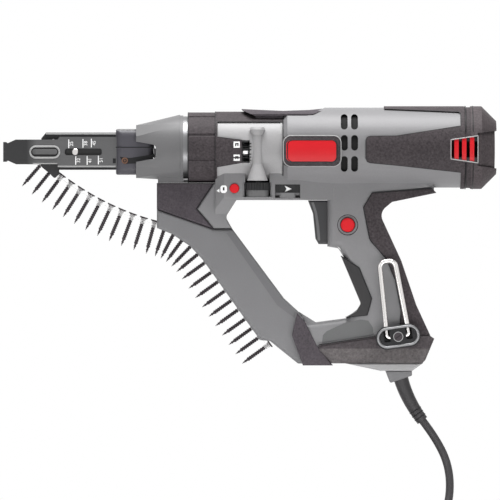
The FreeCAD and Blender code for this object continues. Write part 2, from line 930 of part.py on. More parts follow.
release_hole = rod(
    "release_hole",
    -P.bridge_half - 2,
    -P.bridge_half + P.bridge_wall + 1,
    P.release_radius + P.gap,
    (-P.release_front, 0, bridge_z + P.release_rise),
    "y",
)
reverse_hole = box(
    "reverse_hole",
    (-P.reverse_front, -P.bridge_half - 2, bridge_z + P.reverse_rise),
    (
        -P.reverse_front + P.reverse_window,
        -P.bridge_half + P.bridge_wall + 1,
        bridge_z + P.reverse_rise + P.reverse_height,
    ),
)
lock_hole = turned(
    "lock_hole",
    [
        (-P.grip_half - 3, 0),
        (-P.grip_half - 3, P.lock_radius + 3.2),
        (-P.grip_half + 1, P.lock_radius + 3.2),
        (-P.grip_half + 1, P.lock_radius + P.gap),
        (-grip_inner + 1, P.lock_radius + P.gap),
        (-grip_inner + 1, 0),
    ],
    (-P.lock_back, 0, P.lock_z),
    "y",
)
hook_hole = rod("hook_hole", -40, -grip_inner + 1, P.hook_bore, (P.hook_x, 0, -P.hook_z), "y")
gland_hole = rod("gland_hole", 0, 14, P.cord_radius + 0.6, (P.hook_x + 1, 0, -P.base_z - 10), "z")

BOSSES = [
    (-P.foot_front + 9, -P.base_z + 12, P.grip_half),
    (-P.grip_top_front + 8, trigger_low - 7, P.grip_half),
    (-P.trigger_wall - 14, bridge_z + 9, P.grip_half),
    (P.back_low - 16, -P.spur_z - 10, P.grip_half),
]
boss_posts = []
boss_bores = []
for number, (boss_x, boss_z, boss_half) in enumerate(BOSSES):
    reach = boss_half - 0.6
    boss_posts.append(rod(f"boss_{number}", -reach, reach, P.boss_radius, (boss_x, 0, boss_z), "y"))
    boss_bores.append(
        turned(
            f"boss_bore_{number}",
            [
                (-boss_half + 5, 0),
                (-boss_half + 5, P.boss_screw_radius),
                (boss_half - 5, P.boss_screw_radius),
                (boss_half - 5, P.boss_radius - 0.4),
                (boss_half + 10, P.boss_radius - 0.4),
                (boss_half + 10, 0),
            ],
            (boss_x, 0, boss_z),
            "y",
        )
    )

clamshell = fuse("clamshell", barrel_form, grip_form, bridge_form, elbow_form, cheeks)
hollow = cut(
    "hollow",
    clamshell,
    gear_form,
    motor_room,
    rear_room,
    grip_room,
    bridge_room,
    elbow_room,
)
with_posts = fuse("with_posts", hollow, *boss_posts)
casing = cut(
    "casing",
    with_posts,
    gear_form,
    motor_room,
    web_bore,
    pad_seat,
    grille_hole,
    trigger_slot,
    wheel_well,
    wheel_face,
    release_hole,
    reverse_hole,
    lock_hole,
    hook_hole,
    gland_hole,
    *vent_slots(),
    *boss_bores,
)
left_side = box("left_side", (-400, -200, -400), (400, 0, 400))
right_side = box("right_side", (-400, 0, -400), (400, 200, 400))
piece(common("housing_left", casing, left_side))
piece(common("housing_right", casing, right_side))
piece(cut("badge_frames", badge_rims, badge_front_room, barrel_form))
badge_fill = common("badge_fill", badge_shell, prism("badge_face", badge_outline(P.badge_rim + 0.1), -60, 60))
piece(cut("badge_plates", badge_fill, badge_front_room, barrel_form))

# Screws of the clamshell, put in from the right
housing_screw = [
    turned(
        f"housing_screw_{number}",
        [
            (-boss_half + 6, 0),
            (-boss_half + 6, P.boss_screw_radius - P.fit),
            (boss_half - 5, P.boss_screw_radius - P.fit),
            (boss_half - 5, P.boss_radius - 0.5),
            (boss_half - 2.6, P.boss_radius - 0.5),
            (boss_half - 2.6, 0),
        ],
        (boss_x, 0, boss_z),
        "y",
    )
    for number, (boss_x, boss_z, boss_half) in enumerate(BOSSES)
]
screw_group = doc.addObject("Part::Compound", "housing_screws")
screw_group.Links = housing_screw
piece(screw_group)

# Grip rubber, front pad and shoe, wrapped round the casing
skin_half = P.grip_half + P.skin_side
handle_wrap = prism(
    "handle_wrap",
    [
        (0, motor_z - P.tail_drop),
        (P.tail_back - 3.7, motor_z - P.tail_drop + 4),
        (P.tail_back, motor_z - P.tail_drop),
        (P.throat_back + 12, throat_z + 11, 6),
        (P.throat_back, throat_z + 1, 10),
        (P.back_mid, 0),
        (P.back_low, -P.back_low_z),
        (P.spur_back - 3.6, -P.spur_z + 2.9),
        (P.hook_x + 0.8, -P.spur_z + 2.9),
        (P.hook_x + 2.8, -P.back_low_z - 5),
        (P.back_mid - 5.5, -18),
        (P.back_mid - 14, 2, 4),
        (-2, throat_z - 24, 5),
        (-8, throat_z + 6),
    ],
    -skin_half,
    skin_half,
    soft=1.0,
)
piece(cut("handle_overmold", handle_wrap, grip_form, barrel_form, lock_hole, hook_hole))
insert_wrap = prism(
    "insert_wrap",
    [
        (-P.grip_top_front - 0.5, P.grip_top_z + 0.8),
        (-P.grip_top_front + 16, P.grip_top_z - 10, 4),
        (-P.belly_front + 8, -P.belly_z + 5, 3),
        (-P.belly_front + 4, -P.heel_z + 1.5),
        (-P.heel_front, -P.heel_z - 0.5),
        (-P.belly_front - 6, -P.belly_z - 7),
        (-P.belly_front - 1.6, -P.belly_z, 4),
    ],
    -skin_half,
    skin_half,
    soft=1.0,
)
piece(cut("grip_insert", insert_wrap, grip_form))
shoe_wrap = prism(
    "shoe_wrap",
    [
        (-P.shoe_front, -P.base_z + P.shoe_rise),
        (2.8, -P.base_z + P.shoe_top_rise),
        (P.spur_back - 4, -P.base_z + P.shoe_top_rise + 0.5),
        (P.spur_back, -P.spur_z),
        (P.base_back, -P.base_z + 3, 2),
        (P.base_back - 3, -P.base_z),
        (-P.shoe_front + 13, -P.base_z),
        (-P.shoe_front + 1, -P.base_z + 12),
    ],
    -P.shoe_half,
    P.shoe_half,
    soft=3.5,
)
piece(cut("base_shoe", shoe_wrap, grip_form, handle_wrap, boss_bores[3], hook_hole))
plate_form = prism(
    "plate_form",
    [
        (-P.plate_front, -P.base_z),
        (7.4, -P.base_z - P.plate_thick),
        (P.base_back - 12, -P.base_z - P.plate_thick),
        (P.base_back - 2.5, -P.base_z),
    ],
    -P.plate_half,
    P.plate_half,
    soft=1.5,
)
piece(cut("base_plate", plate_form, gland_hole))

# Rubber round the back of the barrel, its side tongues and top strip
barrel_wrap = prism(
    "barrel_wrap",
    [
        (-6, motor_z - 14, 4),
        (22, motor_z - 16.5),
        (x_barrel_end - 9, motor_z - 23),
        (x_barrel_end - 9, motor_z - 60),
        (x_barrel_end, motor_z - 60),
        (x_barrel_end, motor_z + 60),
        (11, motor_z + 60),
        (11, motor_z + 35.5),
        (x_barrel_end - 11, motor_z + 32.6),
        (x_barrel_end - 9, motor_z + 31),
        (x_barrel_end - 9, motor_z + 19.5),
        (22, motor_z + 10.3),
        (-6, motor_z + 10, 4),
    ],
    -60,
    60,
)
barrel_rubber = common("barrel_rubber", barrel_skin, barrel_wrap)
rubber_groove = rod(
    "rubber_groove", x_barrel_end - P.groove_width, x_barrel_end, 60, MOTOR, bore=P.barrel_radius + 0.4
)
piece(cut("barrel_overmold", barrel_rubber, rubber_groove, grille_hole, grip_form, handle_wrap))
grille_shell = rod(
    "grille_shell",
    x_barrel_end - P.grille_front,
    x_barrel_end + P.grille_front * 0.26,
    P.barrel_radius + P.rubber * 0.4,
    MOTOR,
    bore=barrel_bore,
)
grille_x = x_barrel_end - P.grille_front * 0.74
bar_step = P.grille_bar + P.grille_gap
grille_slots = [
    box(
        f"grille_slot_{number}",
        (
            grille_x + bar_step * number + (0.6 if number == 0 else 0.0),
            -60,
            motor_z - 2 - P.grille_front_half + 1.2,
        ),
        (
            grille_x + P.grille_gap + bar_step * number,
            60,
            motor_z - 2 + P.grille_front_half - 1.2,
        ),
    )
    for number in range(4)
]
piece(cut("rear_vent_grilles", common("grille_body", grille_shell, grille_hole), *grille_slots))


cap_recess_radius = barrel_end_radius - P.cap_bevel - P.cap_rim


def cap_profile(inset):
    """Half section of the bevelled cup of the end cap, its outside drawn in by an inset."""
    rim = barrel_end_radius - inset
    return [
        (x_barrel_end, barrel_bore),
        (x_barrel_end, rim),
        (x_cap_end - P.cap_bevel - inset / 2, rim),
        (x_cap_end - inset, barrel_end_radius - P.cap_bevel - inset / 2),
        (x_cap_end - inset, cap_recess_radius),
        (x_cap_end - P.cap_recess_depth, cap_recess_radius),
        (x_cap_end - P.cap_recess_depth, 0),
        (x_cap_end - P.cap_recess_depth - 3, 0),
        (x_cap_end - P.cap_recess_depth - 3, cap_recess_radius),
        (x_cap_end - P.cap_bevel - 1, barrel_bore),
    ]


cap_form = turned("cap_form", cap_profile(as_dim(0)), MOTOR)
cap_core = turned("cap_core", cap_profile(P.band_depth), MOTOR)
cap_band = prism(
    "cap_band",
    [
        (x_barrel_end + P.grille_front * 0.26 - 0.1, motor_z - 2 - P.band_half_height + 1.5),
        (x_cap_end + 5, motor_z - 2 - P.band_half_height - 1.5),
        (x_cap_end + 5, motor_z - 2 + P.band_half_height + 1.5),
        (x_barrel_end + P.grille_front * 0.26 - 0.1, motor_z - 2 + P.band_half_height - 1.5),
    ],
    -60,
    60,
)
band_recess = cut("band_recess", cap_band, cap_core)
piece(cut("rear_cap", cap_form, grille_hole, band_recess))

# Gear housing with its bearing seats, the depth window and the half-round pillar over the depth screw
web_front = x_gear + 13
web_rear = x_gear + 17.5
gear_tube = rod("gear_tube", x_gear, x_joint, P.gear_radius, MOTOR, bore=P.gear_radius - P.gear_wall)
gear_face = rod("gear_face", x_gear, x_gear + 5, P.gear_radius - P.gear_wall, MOTOR)
gear_web = rod("gear_web", web_front, web_rear, P.gear_radius - P.gear_wall, MOTOR)
pillar_z = motor_z - P.gear_radius
pillar = turned(
    "pillar",
    [
        (pillar_z + 1.2, 0),
        (pillar_z + 1.2, 9.5),
        (pillar_z + 16, 4.4),
        (pillar_z + 43, 4.4),
        (pillar_z + 48, 7.2),
        (pillar_z + 50, 6.0),
        (pillar_z + 50, 0),
    ],
    (-P.wheel_front, -P.gear_radius + 2.2, 0),
    "z",
)
pillar_kept = cut("pillar_kept", pillar, rod("pillar_room", x_gear, x_joint, P.gear_radius - 1, MOTOR))
gear_block = fuse("gear_block", gear_tube, gear_face, gear_web, pillar_kept)
front_bearing_seat = rod("front_bearing_seat", x_gear - 1, x_gear + 6, P.front_bearing_radius, BIT)
spindle_bush_seat = rod("spindle_bush_seat", web_front - 1, web_rear + 1, P.spindle_radius + 1.5, BIT)
counter_seat = rod("counter_seat", web_front - 1, web_rear + 1, P.bush_radius, COUNTER)
stem_hole = rod(
    "stem_hole",
    bridge_z,
    motor_z,
    P.stem_radius + P.gap,
    (-P.wheel_front, -P.wheel_side, 0),
    "z",
)
pointer_x = -P.wheel_front - P.pointer_lead
window_hole = box(
    "window_hole",
    (pointer_x - P.window_width / 2, -60, bit_z - P.window_height / 2),
    (pointer_x + P.window_width / 2, -P.gear_radius + 8, bit_z + P.window_height / 2),
)
piece(
    cut(
        "gear_housing",
        gear_block,
        front_bearing_seat,
        spindle_bush_seat,
        counter_seat,
        stem_hole,
        window_hole,
    )
)
gear_wrap = prism(
    "gear_wrap",
    [
        (x_gear, motor_z - 60),
        (x_gear + 1.6, motor_z - 60),
        (x_gear + 1.6, bit_z - P.tongue_half - 0.5),
        (x_gear + P.tongue_length, bit_z - P.tongue_half + 3.5, 2),
        (x_gear + P.tongue_length, bit_z + P.tongue_half - 3, 2),
        (x_gear + 1.6, bit_z + P.tongue_half),
        (x_gear + 1.6, motor_z + P.strip_half + 1),
        (x_joint, motor_z + P.strip_half + 1),
        (x_joint, motor_z + 60),
        (x_gear, motor_z + 60),
    ],
    -60,
    60,
)
gear_shell = rod("gear_shell", x_gear, x_joint, P.gear_radius + P.rubber, MOTOR, bore=P.gear_radius)
gear_rubber = common("gear_rubber", gear_shell, gear_wrap)
piece(cut("gear_overmold", gear_rubber, bridge_form, elbow_form, pillar_kept))

# Pad on top of the gear housing
pad_low = motor_z + P.pad_rise - P.pad_thick
pad_form = prism(
    "pad_form",
    [
        (-P.pad_front, motor_z + P.pad_rise),
        (-P.pad_front + 1, motor_z + P.pad_rise - 1.4),
        (-P.pad_front + P.pad_taper, pad_low),
        (-P.pad_rear - P.pad_taper - 3, pad_low),
        (-P.pad_rear, motor_z + P.pad_rise - 0.9),
        (-P.pad_rear, motor_z + P.pad_rise + 0.6),
        (-P.pad_rear - P.pad_taper - 2, motor_z + P.pad_rise - P.pad_dip / 2),
        ((-P.pad_front - P.pad_rear) / 2, motor_z + P.pad_rise - P.pad_dip),
        (-P.pad_front + P.pad_taper + 6, motor_z + P.pad_rise - P.pad_dip / 2),
    ],
    -P.pad_half,
    P.pad_half,
)
pad_tip = motor_z + P.pad_rise + 0.6
pad_arch = rod("pad_arch", -P.pad_front - 1, -P.pad_rear + 1, P.pad_crown, (0, 0, pad_tip - P.pad_crown))
pad_arched = common("pad_arched", pad_form, pad_arch)
pad_foot = box(
    "pad_foot",
    (-P.pad_front + P.pad_taper + 1, -P.pad_half + P.pad_lip, motor_z + P.pad_foot_rise),
    (x_joint - P.gap, P.pad_half - P.pad_lip, pad_low + 0.5),
)
barrel_under_pad = cut("barrel_under_pad", barrel_form, pad_seat)
piece(cut("top_pad", fuse("pad_whole", pad_arched, pad_foot), gear_skin, barrel_under_pad))

# Collar with flutes, bright ring and the housing that guides the feed slide
collar_body = rod("collar_body", x_collar, x_gear, P.collar_radius, MOTOR, bore=P.collar_bore)
flutes = []
for number in range(9):
    lean = math.radians(40 * number)
    reach = P.collar_radius - P.flute_depth + 2
    flutes.append(
        rod(
            f"flute_{number}",
            x_collar - 1,
            x_gear + 1,
            2,
            (0, reach * math.cos(lean), motor_z + reach * math.sin(lean)),
        )
    )
piece(cut("collar", collar_body, *flutes))
piece(rod("retaining_ring", x_ring, x_collar, P.ring_radius, MOTOR, bore=P.collar_bore))
slide_z = bit_z
cone_front_z = slide_z + 0.3
cone_end = x_ring - 3
cone_mouth = octagon(
    x_cone, cone_front_z, P.cone_half_width, P.cone_half_height, P.cone_bevel, P.cone_bevel_rise
)
cone_loft = feature(
    "cone_loft",
    Part.makeLoft(
        [
            cone_mouth,
            eight_arcs(cone_end, motor_z, P.cone_rear_radius, 42, 4),
        ],
        True,
        True,
    ),
)
cone_band = rod("cone_band", cone_end - 2, x_ring, P.cone_rear_radius - 0.7, MOTOR)
cone_neck = box(
    "cone_neck",
    (x_cone + P.cone_neck, -P.cone_neck_half, panel_top + P.gap),
    (x_ring, P.cone_neck_half, cone_front_z - P.cone_half_height + 8),
)
tunnel_mouth = octagon(
    x_cone - 1, slide_z, P.block_half + P.gap, P.block_half_height + P.gap, P.tunnel_bevel, P.tunnel_bevel
)
tunnel_run = Vector(float(P.cone_length) + 2, 0, 0)
slide_tunnel = feature("slide_tunnel", Part.Face(tunnel_mouth).extrude(tunnel_run))
cone_notch = prism(
    "cone_notch",
    [
        (x_cone - 1, slide_z - P.cone_notch_half),
        (x_cone + P.cone_notch, slide_z - P.cone_notch_half + 3.5, 3),
        (x_cone + P.cone_notch, slide_z + P.cone_notch_half - 3.5, 3),
        (x_cone - 1, slide_z + P.cone_notch_half),
    ],
    -60,
    60,
)
cone_whole = fuse("cone_whole", cone_loft, cone_band, cone_neck)
piece(cut("front_housing", cone_whole, slide_tunnel, cone_notch))

# Magazine: dark head panel, channelled arm in two halves and the band round its foot
mouth_top = panel_top - P.panel_drop + 4.6
mouth_low = mouth_top - P.mouth_drop
arm_dx = P.arm_start_x - P.arm_end_x
arm_dz = P.arm_start_z + P.arm_end_z
arm_length = root(arm_dx * arm_dx + arm_dz * arm_dz)
side_x = arm_dz / arm_length
side_z = arm_dx / arm_length
piece(
    cut(
        "magazine_panel",
        prism(
            "panel_form",
            [
                (-P.mag_front, panel_top),
                (-P.mag_front, mouth_top),
                (elbow_top_x, elbow_low_z),
                (elbow_top_x - P.elbow_bulge, bridge_z - 8.2),
                (elbow_top_x, panel_top),
            ],
            -P.panel_half,
            P.panel_half,
            soft=1.5,
        ),
        elbow_form,
    )
)
ARM_OUTLINE = [
    (-P.mag_front, mouth_top),
    (-P.mag_front, mouth_low),
    (-P.mag_front + 13.8, mouth_low - 5.5),
    (-P.mag_front + 30.4, mouth_low - 16.6, 14),
    (-P.arm_start_x, P.arm_start_z, 14),
    (-P.arm_end_x, -P.arm_end_z),
    (-P.arm_end_x + 9.2, -P.arm_end_z - 0.9),
    (-P.foot_front - 6.1, -P.base_z - 0.3, 3),
    (-P.foot_front, -P.base_z - 0.3),
    (-P.foot_front, -P.foot_z + 6),
    (-P.arm_end_x + side_x * P.arm_width - 9, -P.arm_end_z + side_z * P.arm_width + 16),
    (elbow_top_x + 17, elbow_low_z),
    (elbow_top_x, elbow_low_z),
]
arm_form = prism("arm_form", ARM_OUTLINE, -P.mag_half, P.mag_half, soft=3.0)
channel = prism(
    "channel",
    [
        (-P.mag_front - 1, mouth_low + P.channel_depth),
        (-P.mag_front + 18, mouth_low + P.channel_depth - 6.5),
        (-P.mag_front + 37, mouth_low + P.channel_depth - 20, 14),
        (-P.arm_start_x + side_x * P.channel_depth, P.arm_start_z + side_z * P.channel_depth, 14),
        (-P.arm_end_x + side_x * P.channel_depth, -P.arm_end_z + side_z * P.channel_depth),
        (-P.arm_end_x - side_x * 14, -P.arm_end_z - side_z * 14),
        (-P.arm_start_x - side_x * 30, P.arm_start_z - side_z * 30),
        (-P.mag_front - 1, mouth_low - 20),
    ],
    -P.channel_half,
    P.channel_half,
)
arm_hollow = prism(
    "arm_hollow",
    [
        (-P.arm_start_x + side_x * 19, P.arm_start_z + side_z * 19),
        (-P.arm_end_x + side_x * 19, -P.arm_end_z + side_z * 19),
        (-P.arm_end_x + side_x * 30, -P.arm_end_z + side_z * 30),
        (-P.arm_start_x + side_x * 33, P.arm_start_z + side_z * 33),
    ],
    -P.mag_half + P.bridge_wall,
    P.mag_half - P.bridge_wall,
)
magazine = cut("magazine", arm_form, channel, arm_hollow, elbow_form, grip_form)
piece(common("magazine_left", magazine, left_side))
piece(common("magazine_right", magazine, right_side))
band_form = prism(
    "band_form",
    [
        (-P.band_front + 4.6, -P.foot_z + 10),
        (-P.band_front, -P.foot_z - 10.4),
        (-P.band_front + 10, -P.base_z - P.band_thick),
        (-P.band_rear, -P.base_z - P.band_thick),
        (-P.shoe_front - 1.5, -P.base_z + P.shoe_rise),
        (-P.foot_front + 0.4, -P.foot_z + 1.6),
    ],
    -P.band_half,
    P.band_half,
    soft=1.2,
)
piece(cut("magazine_band", band_form, grip_form, arm_form, shoe_wrap, boss_bores[0], plate_form))


# Path of the screw heads: a slack curve from the nose to the magazine's mouth, a bend, then the straight arm
def bezier(first, bend, last, t):
    """Point of a curve with one bend."""
    return first * (1 - t) ** 2 + bend * (2 * t * (1 - t)) + last * t**2


def strip_path():
    """Points of the path of the heads, closely spaced."""
    inset = float(P.head_inset)
    across = Vector(float(side_x), 0, float(side_z))
    nose = Vector(float(x_nose + P.feed_reach), 0, float(bit_z - P.feed_drop))
    slack = Vector(-float(P.free_bend_x), 0, float(bit_z - P.free_bend_drop))
    mouth = Vector(float(-P.mag_front + P.mouth_back), 0, float(mouth_low + P.mouth_rise))
    straight = Vector(float(-P.arm_start_x), 0, float(P.arm_start_z)) + across * inset
    last = Vector(float(-P.arm_end_x), 0, float(-P.arm_end_z)) + across * inset
    along = (last - straight).normalize()
    leave = (mouth - slack).normalize()
    spread = leave.z * along.x - leave.x * along.z
    offset = straight - mouth
    bend = mouth + leave * ((offset.z * along.x - offset.x * along.z) / spread)
    steps = 60
    points = [bezier(nose, slack, mouth, i / steps) for i in range(steps)]
    points += [bezier(mouth, bend, straight, i / steps) for i in range(steps)]
    return points + [straight + (last - straight) * (i / steps) for i in range(steps + 1)]


def spaced(points, pitch):
    """Places along a polyline at an even pitch, each with the direction of the path there."""
    places = []
    travelled = 0.0
    due = 0.0
    for first, last in zip(points, points[1:]):
        run = last.distanceToPoint(first)
        way = (last - first).normalize()
        while due <= travelled + run:
            places.append((first + way * (due - travelled), way))
            due += pitch
        travelled += run
    return places


screw_master = turned(
    "screw_master",
    [
        (0, 0),
        (0, P.head_radius),
        (0.7, P.head_radius),
        (P.head_length, P.screw_radius),
        (P.screw_length - 6, P.screw_radius),
        (P.screw_length, 0.05),
        (P.screw_length, 0),
    ],
    (0, 0, 0),
)
doc.recompute()
head_places = spaced(strip_path(), float(P.strip_pitch))
screws = []
holes = []
for spot, way in head_places:
    down = Vector(way.z, 0, -way.x)
    pose = Placement(spot, Rotation(Vector(1, 0, 0), down))
    screws.append(screw_master.Shape.transformed(pose.Matrix, True))
    holes.append(Part.makeCylinder(2.9, 12, spot - down * 3, down))
piece(feature("strip_screws", Part.makeCompound(screws)))
band_points = spaced(strip_path(), float(P.strip_pitch) / 3)
upper = [spot + Vector(way.z, 0, -way.x) * float(P.strip_offset) for spot, way in band_points]
lower = [
    spot + Vector(way.z, 0, -way.x) * float(P.strip_offset + P.strip_thick) for spot, way in band_points
]
strip_wire = Part.makePolygon(upper + lower[::-1] + upper[:1])
strip_wire.translate(Vector(0, -float(P.strip_width) / 2, 0))
strip_solid = Part.Face(strip_wire).extrude(Vector(0, float(P.strip_width), 0))
piece(feature("collation_strip", strip_solid.cut(Part.makeCompound(holes))))

# Feed slide: block in the front housing, two webs that carry the strip, rails above and below the nose plates
slide_block = prism(
    "slide_block",
    [
        (x_block, slide_z - P.block_half_height, 1.5),
        (x_block_rear, slide_z - P.block_half_height),
        (x_block_rear, slide_z + P.block_half_height),
        (x_block, slide_z + P.block_half_height, 1.5),
    ],
    -P.block_half,
    P.block_half,
    soft=P.block_bevel,
)
slide_head = x_nose + P.slide_front
slide_web = prism(
    "slide_web",
    [
        (slide_head, slide_z - P.nose_half_height - 2.4),
        (slide_head + 8, slide_z - P.guide_drop + 4),
        (slide_head + 12, slide_z - P.guide_drop, 1.5),
        (slide_head + 16.6, slide_z - P.guide_drop + 4.2, 1.5),
        (slide_head + 16, slide_z - P.rail_bottom),
        (x_block + 1, slide_z - P.rail_bottom),
        (x_block + 1, slide_z + P.rail_top),
        (slide_head + 4.5, slide_z + P.rail_top),
        (slide_head, slide_z + P.nose_half_height + 1.2),
    ],
    -P.web_half,
    P.web_half,
)
top_rail = box(
    "top_rail",
    (slide_head + 4.5, -P.nose_half, slide_z + P.rail_top - P.rail_thick),
    (x_block + 1, P.nose_half, slide_z + P.rail_top),
)
bottom_rail = box(
    "bottom_rail",
    (slide_head + 16, -P.nose_half, slide_z - P.rail_bottom),
    (x_block + 1, P.nose_half, slide_z - P.rail_bottom + 1.4),
)
feed_slot = box(
    "feed_slot",
    (slide_head - 1, -P.channel_half, slide_z - 40),
    (slide_head + 17, P.channel_half, slide_z + P.rail_top - 1.2),
)
bit_tunnel = rod("bit_tunnel", slide_head, x_block_rear + 1, P.bit_radius + 0.8, BIT)
holder_room = rod("holder_room", x_block + 4.5, x_block_rear + 1, P.holder_radius + 0.4, BIT)
spring_seat = rod(
    "spring_seat", x_block_rear - P.spring_pocket, x_block_rear + 1, P.spring_radius + 0.4, BIT
)
tail_pockets = [
    box(
        f"tail_pocket_{side}",
        (x_block - 1, y_low, slide_z - 15.2),
        (x_block + P.tail_room, y_high, slide_z + 14.2),
    )
    for side, y_low, y_high in (
        ("left", -P.nose_half - P.gap, -P.web_half),
        ("right", P.web_half, P.nose_half + P.gap),
    )
]
sprocket_x = x_nose + P.sprocket_reach
sprocket_z = slide_z + P.sprocket_rise
axle_hole = rod("axle_hole", -20, 20, P.axle_radius + P.fit, (sprocket_x, 0, sprocket_z), "y")
pin_x = x_nose + P.pin_reach
pin_hole = rod("pin_hole", -P.nose_half - 1, 0, P.pin_radius + P.fit, (pin_x, 0, slide_z), "y")
slide_joined = fuse("slide_joined", slide_block, slide_web, top_rail, bottom_rail)
piece(
    cut(
        "slide_body",
        slide_joined,
        feed_slot,
        bit_tunnel,
        holder_room,
        spring_seat,
        axle_hole,
        pin_hole,
        *tail_pockets,
    )
)
sprocket_pitch = 2 * math.pi / float(P.sprocket_teeth)
sprocket_wire = []
for tooth in range(int(float(P.sprocket_teeth))):
    for share, ratio in ((-0.28, 0.68), (-0.1, 1.0), (0.1, 1.0), (0.28, 0.68)):
        turn_angle = (tooth + share) * sprocket_pitch
        reach = float(P.sprocket_radius) * ratio
        sprocket_wire.append(Vector(reach * math.cos(turn_angle), 0, reach * math.sin(turn_angle)))
sprocket_disc = Part.Face(Part.makePolygon(sprocket_wire + sprocket_wire[:1])).extrude(Vector(0, 8, 0))
sprocket_star = place(feature("sprocket_star", sprocket_disc), (sprocket_x, -4, sprocket_z))
sprocket_axle = rod(
    "sprocket_axle", -P.web_half, P.web_half, P.axle_radius, (sprocket_x, 0, sprocket_z), "y"
)
piece(fuse("feed_sprocket", sprocket_star, sprocket_axle))
piece(
    turned(
        "length_pin",
        [
            (-P.nose_half - 0.7, 0),
            (-P.nose_half - 0.7, P.pin_radius - 0.5),
            (-P.nose_half - 0.2, P.pin_radius),
            (-P.web_half + 0.6, P.pin_radius),
            (-P.web_half + 0.6, 0),
        ],
        (pin_x, 0, slide_z),
        "y",
    )
)
nose_form = prism(
    "nose_form",
    [
        (x_nose, slide_z - P.nose_tip_half),
        (x_nose + P.nose_lip, slide_z - P.nose_tip_half),
        (x_nose + P.nose_lip + 1.5, slide_z - P.nose_tip_half + 1),
        (x_nose + P.nose_taper, slide_z - P.nose_half_height),
        (slide_head + 15, slide_z - P.nose_half_height),
        (slide_head + 17, slide_z - P.rail_bottom + 1.4 + P.gap),
        (x_block + P.tail_in, slide_z - P.rail_bottom + 1.4 + P.gap),
        (x_block + P.tail_in, slide_z + P.rail_top - P.rail_thick - P.gap),
        (slide_head + 17, slide_z + P.rail_top - P.rail_thick - P.gap),
        (slide_head + 15, slide_z + P.nose_half_height),
        (x_nose + P.nose_taper, slide_z + P.nose_half_height),
        (x_nose + P.nose_lip + 1.5, slide_z + P.nose_tip_half - 1),
        (x_nose + P.nose_lip, slide_z + P.nose_tip_half),
        (x_nose, slide_z + P.nose_tip_half),
    ],
    -P.nose_half,
    P.nose_half,
)
nose_fork = box(
    "nose_fork",
    (x_nose + P.nose_solid, -P.plate_half_inner, slide_z - 60),
    (x_block + 60, P.plate_half_inner, slide_z + 60),
)
nose_exit = rod("nose_exit", x_nose - 1, x_nose + P.nose_solid + 1, P.nose_bore, BIT)
slot_points = [
    (pin_x - P.slot_forward, slide_z - P.slot_half, 2),
    (pin_x + P.slot_back, slide_z - P.slot_half, 2),
    (pin_x + P.slot_back, slide_z + P.slot_half, 2),
    (pin_x - P.slot_forward, slide_z + P.slot_half, 2),
]
pin_slot = prism("pin_slot", slot_points, -40, 40)
piece(cut("nosepiece", nose_form, nose_fork, nose_exit, pin_slot))

spring_start = x_block_rear - P.spring_pocket + P.spring_wire / 2 + 0.1
spring_end = x_gear - P.spring_wire / 2 - 0.1


def spring_curve(t):
    """Centre line of the return spring, from the slide to the gear housing."""
    angle = 2 * math.pi * float(P.spring_turns) * t
    middle = float(P.spring_radius - P.spring_wire / 2)
    x = float(spring_start) + float(spring_end - spring_start) * t
    return Vector(x, middle * math.cos(angle), float(bit_z) + middle * math.sin(angle))


spring_tube, _ = wound_tube(spring_curve, int(float(P.spring_turns)) * 4, float(P.spring_wire) / 2)
piece(feature("return_spring", spring_tube))

# Trigger, switch, buttons and sliders
trigger_x = -P.trigger_wall
piece(
    prism(
        "trigger",
        [
            (trigger_x - P.trigger_front, trigger_top),
            (trigger_x - P.trigger_front + 4.6, trigger_top - 12, 12),
            (trigger_x - P.trigger_toe, trigger_low + 5, 4),
            (trigger_x - P.trigger_toe + 3, trigger_low),
            (trigger_x + P.trigger_tail, trigger_low),
            (trigger_x + P.trigger_tail, trigger_top),
        ],
        -P.trigger_half,
        P.trigger_half,
        soft=2.0,
    )
)
switch_front = trigger_x + P.trigger_tail + P.trigger_travel + P.gap
piece(
    box(
        "switch_module",
        (switch_front, -P.grip_half + 6.4, trigger_low + 3),
        (-6, grip_inner - 0.2, trigger_top - 4),
    )
)
piece(
    turned(
        "lock_button",
        [
            (-P.grip_half - P.lock_proud, 0),
            (-P.grip_half - P.lock_proud, P.lock_radius - 1),
            (-P.grip_half - P.lock_proud + 1, P.lock_radius),
            (-grip_inner, P.lock_radius),
            (-grip_inner, 0),
        ],
        (-P.lock_back, 0, P.lock_z),
        "y",
    )
)
piece(
    turned(
        "release_button",
        [
            (-P.bridge_half - 1.6, 0),
            (-P.bridge_half - 1.6, P.release_radius - 0.6),
            (-P.bridge_half - 1, P.release_radius),
            (-P.bridge_half + P.bridge_wall, P.release_radius),
            (-P.bridge_half + P.bridge_wall, 0),
        ],
        (-P.release_front, 0, bridge_z + P.release_rise),
        "y",
    )
)
slider_room = P.reverse_travel + P.gap
reverse_low_z = bridge_z + P.reverse_rise + P.gap
reverse_high_z = bridge_z + P.reverse_rise + P.reverse_height - P.gap
slider_plate = box(
    "slider_plate",
    (-P.reverse_front + slider_room, -P.bridge_half + 0.4, reverse_low_z),
    (-P.reverse_front + P.reverse_window - slider_room, -P.bridge_half + P.bridge_wall, reverse_high_z),
)
slider_ridge = box(
    "slider_ridge",
    (-P.reverse_front + slider_room + 1, -P.bridge_half - 1.8, reverse_low_z),
    (-P.reverse_front + P.reverse_window - slider_room - 1, -P.bridge_half + 1, reverse_low_z + 5),
)
piece(fuse("reverse_slider", slider_plate, slider_ridge))

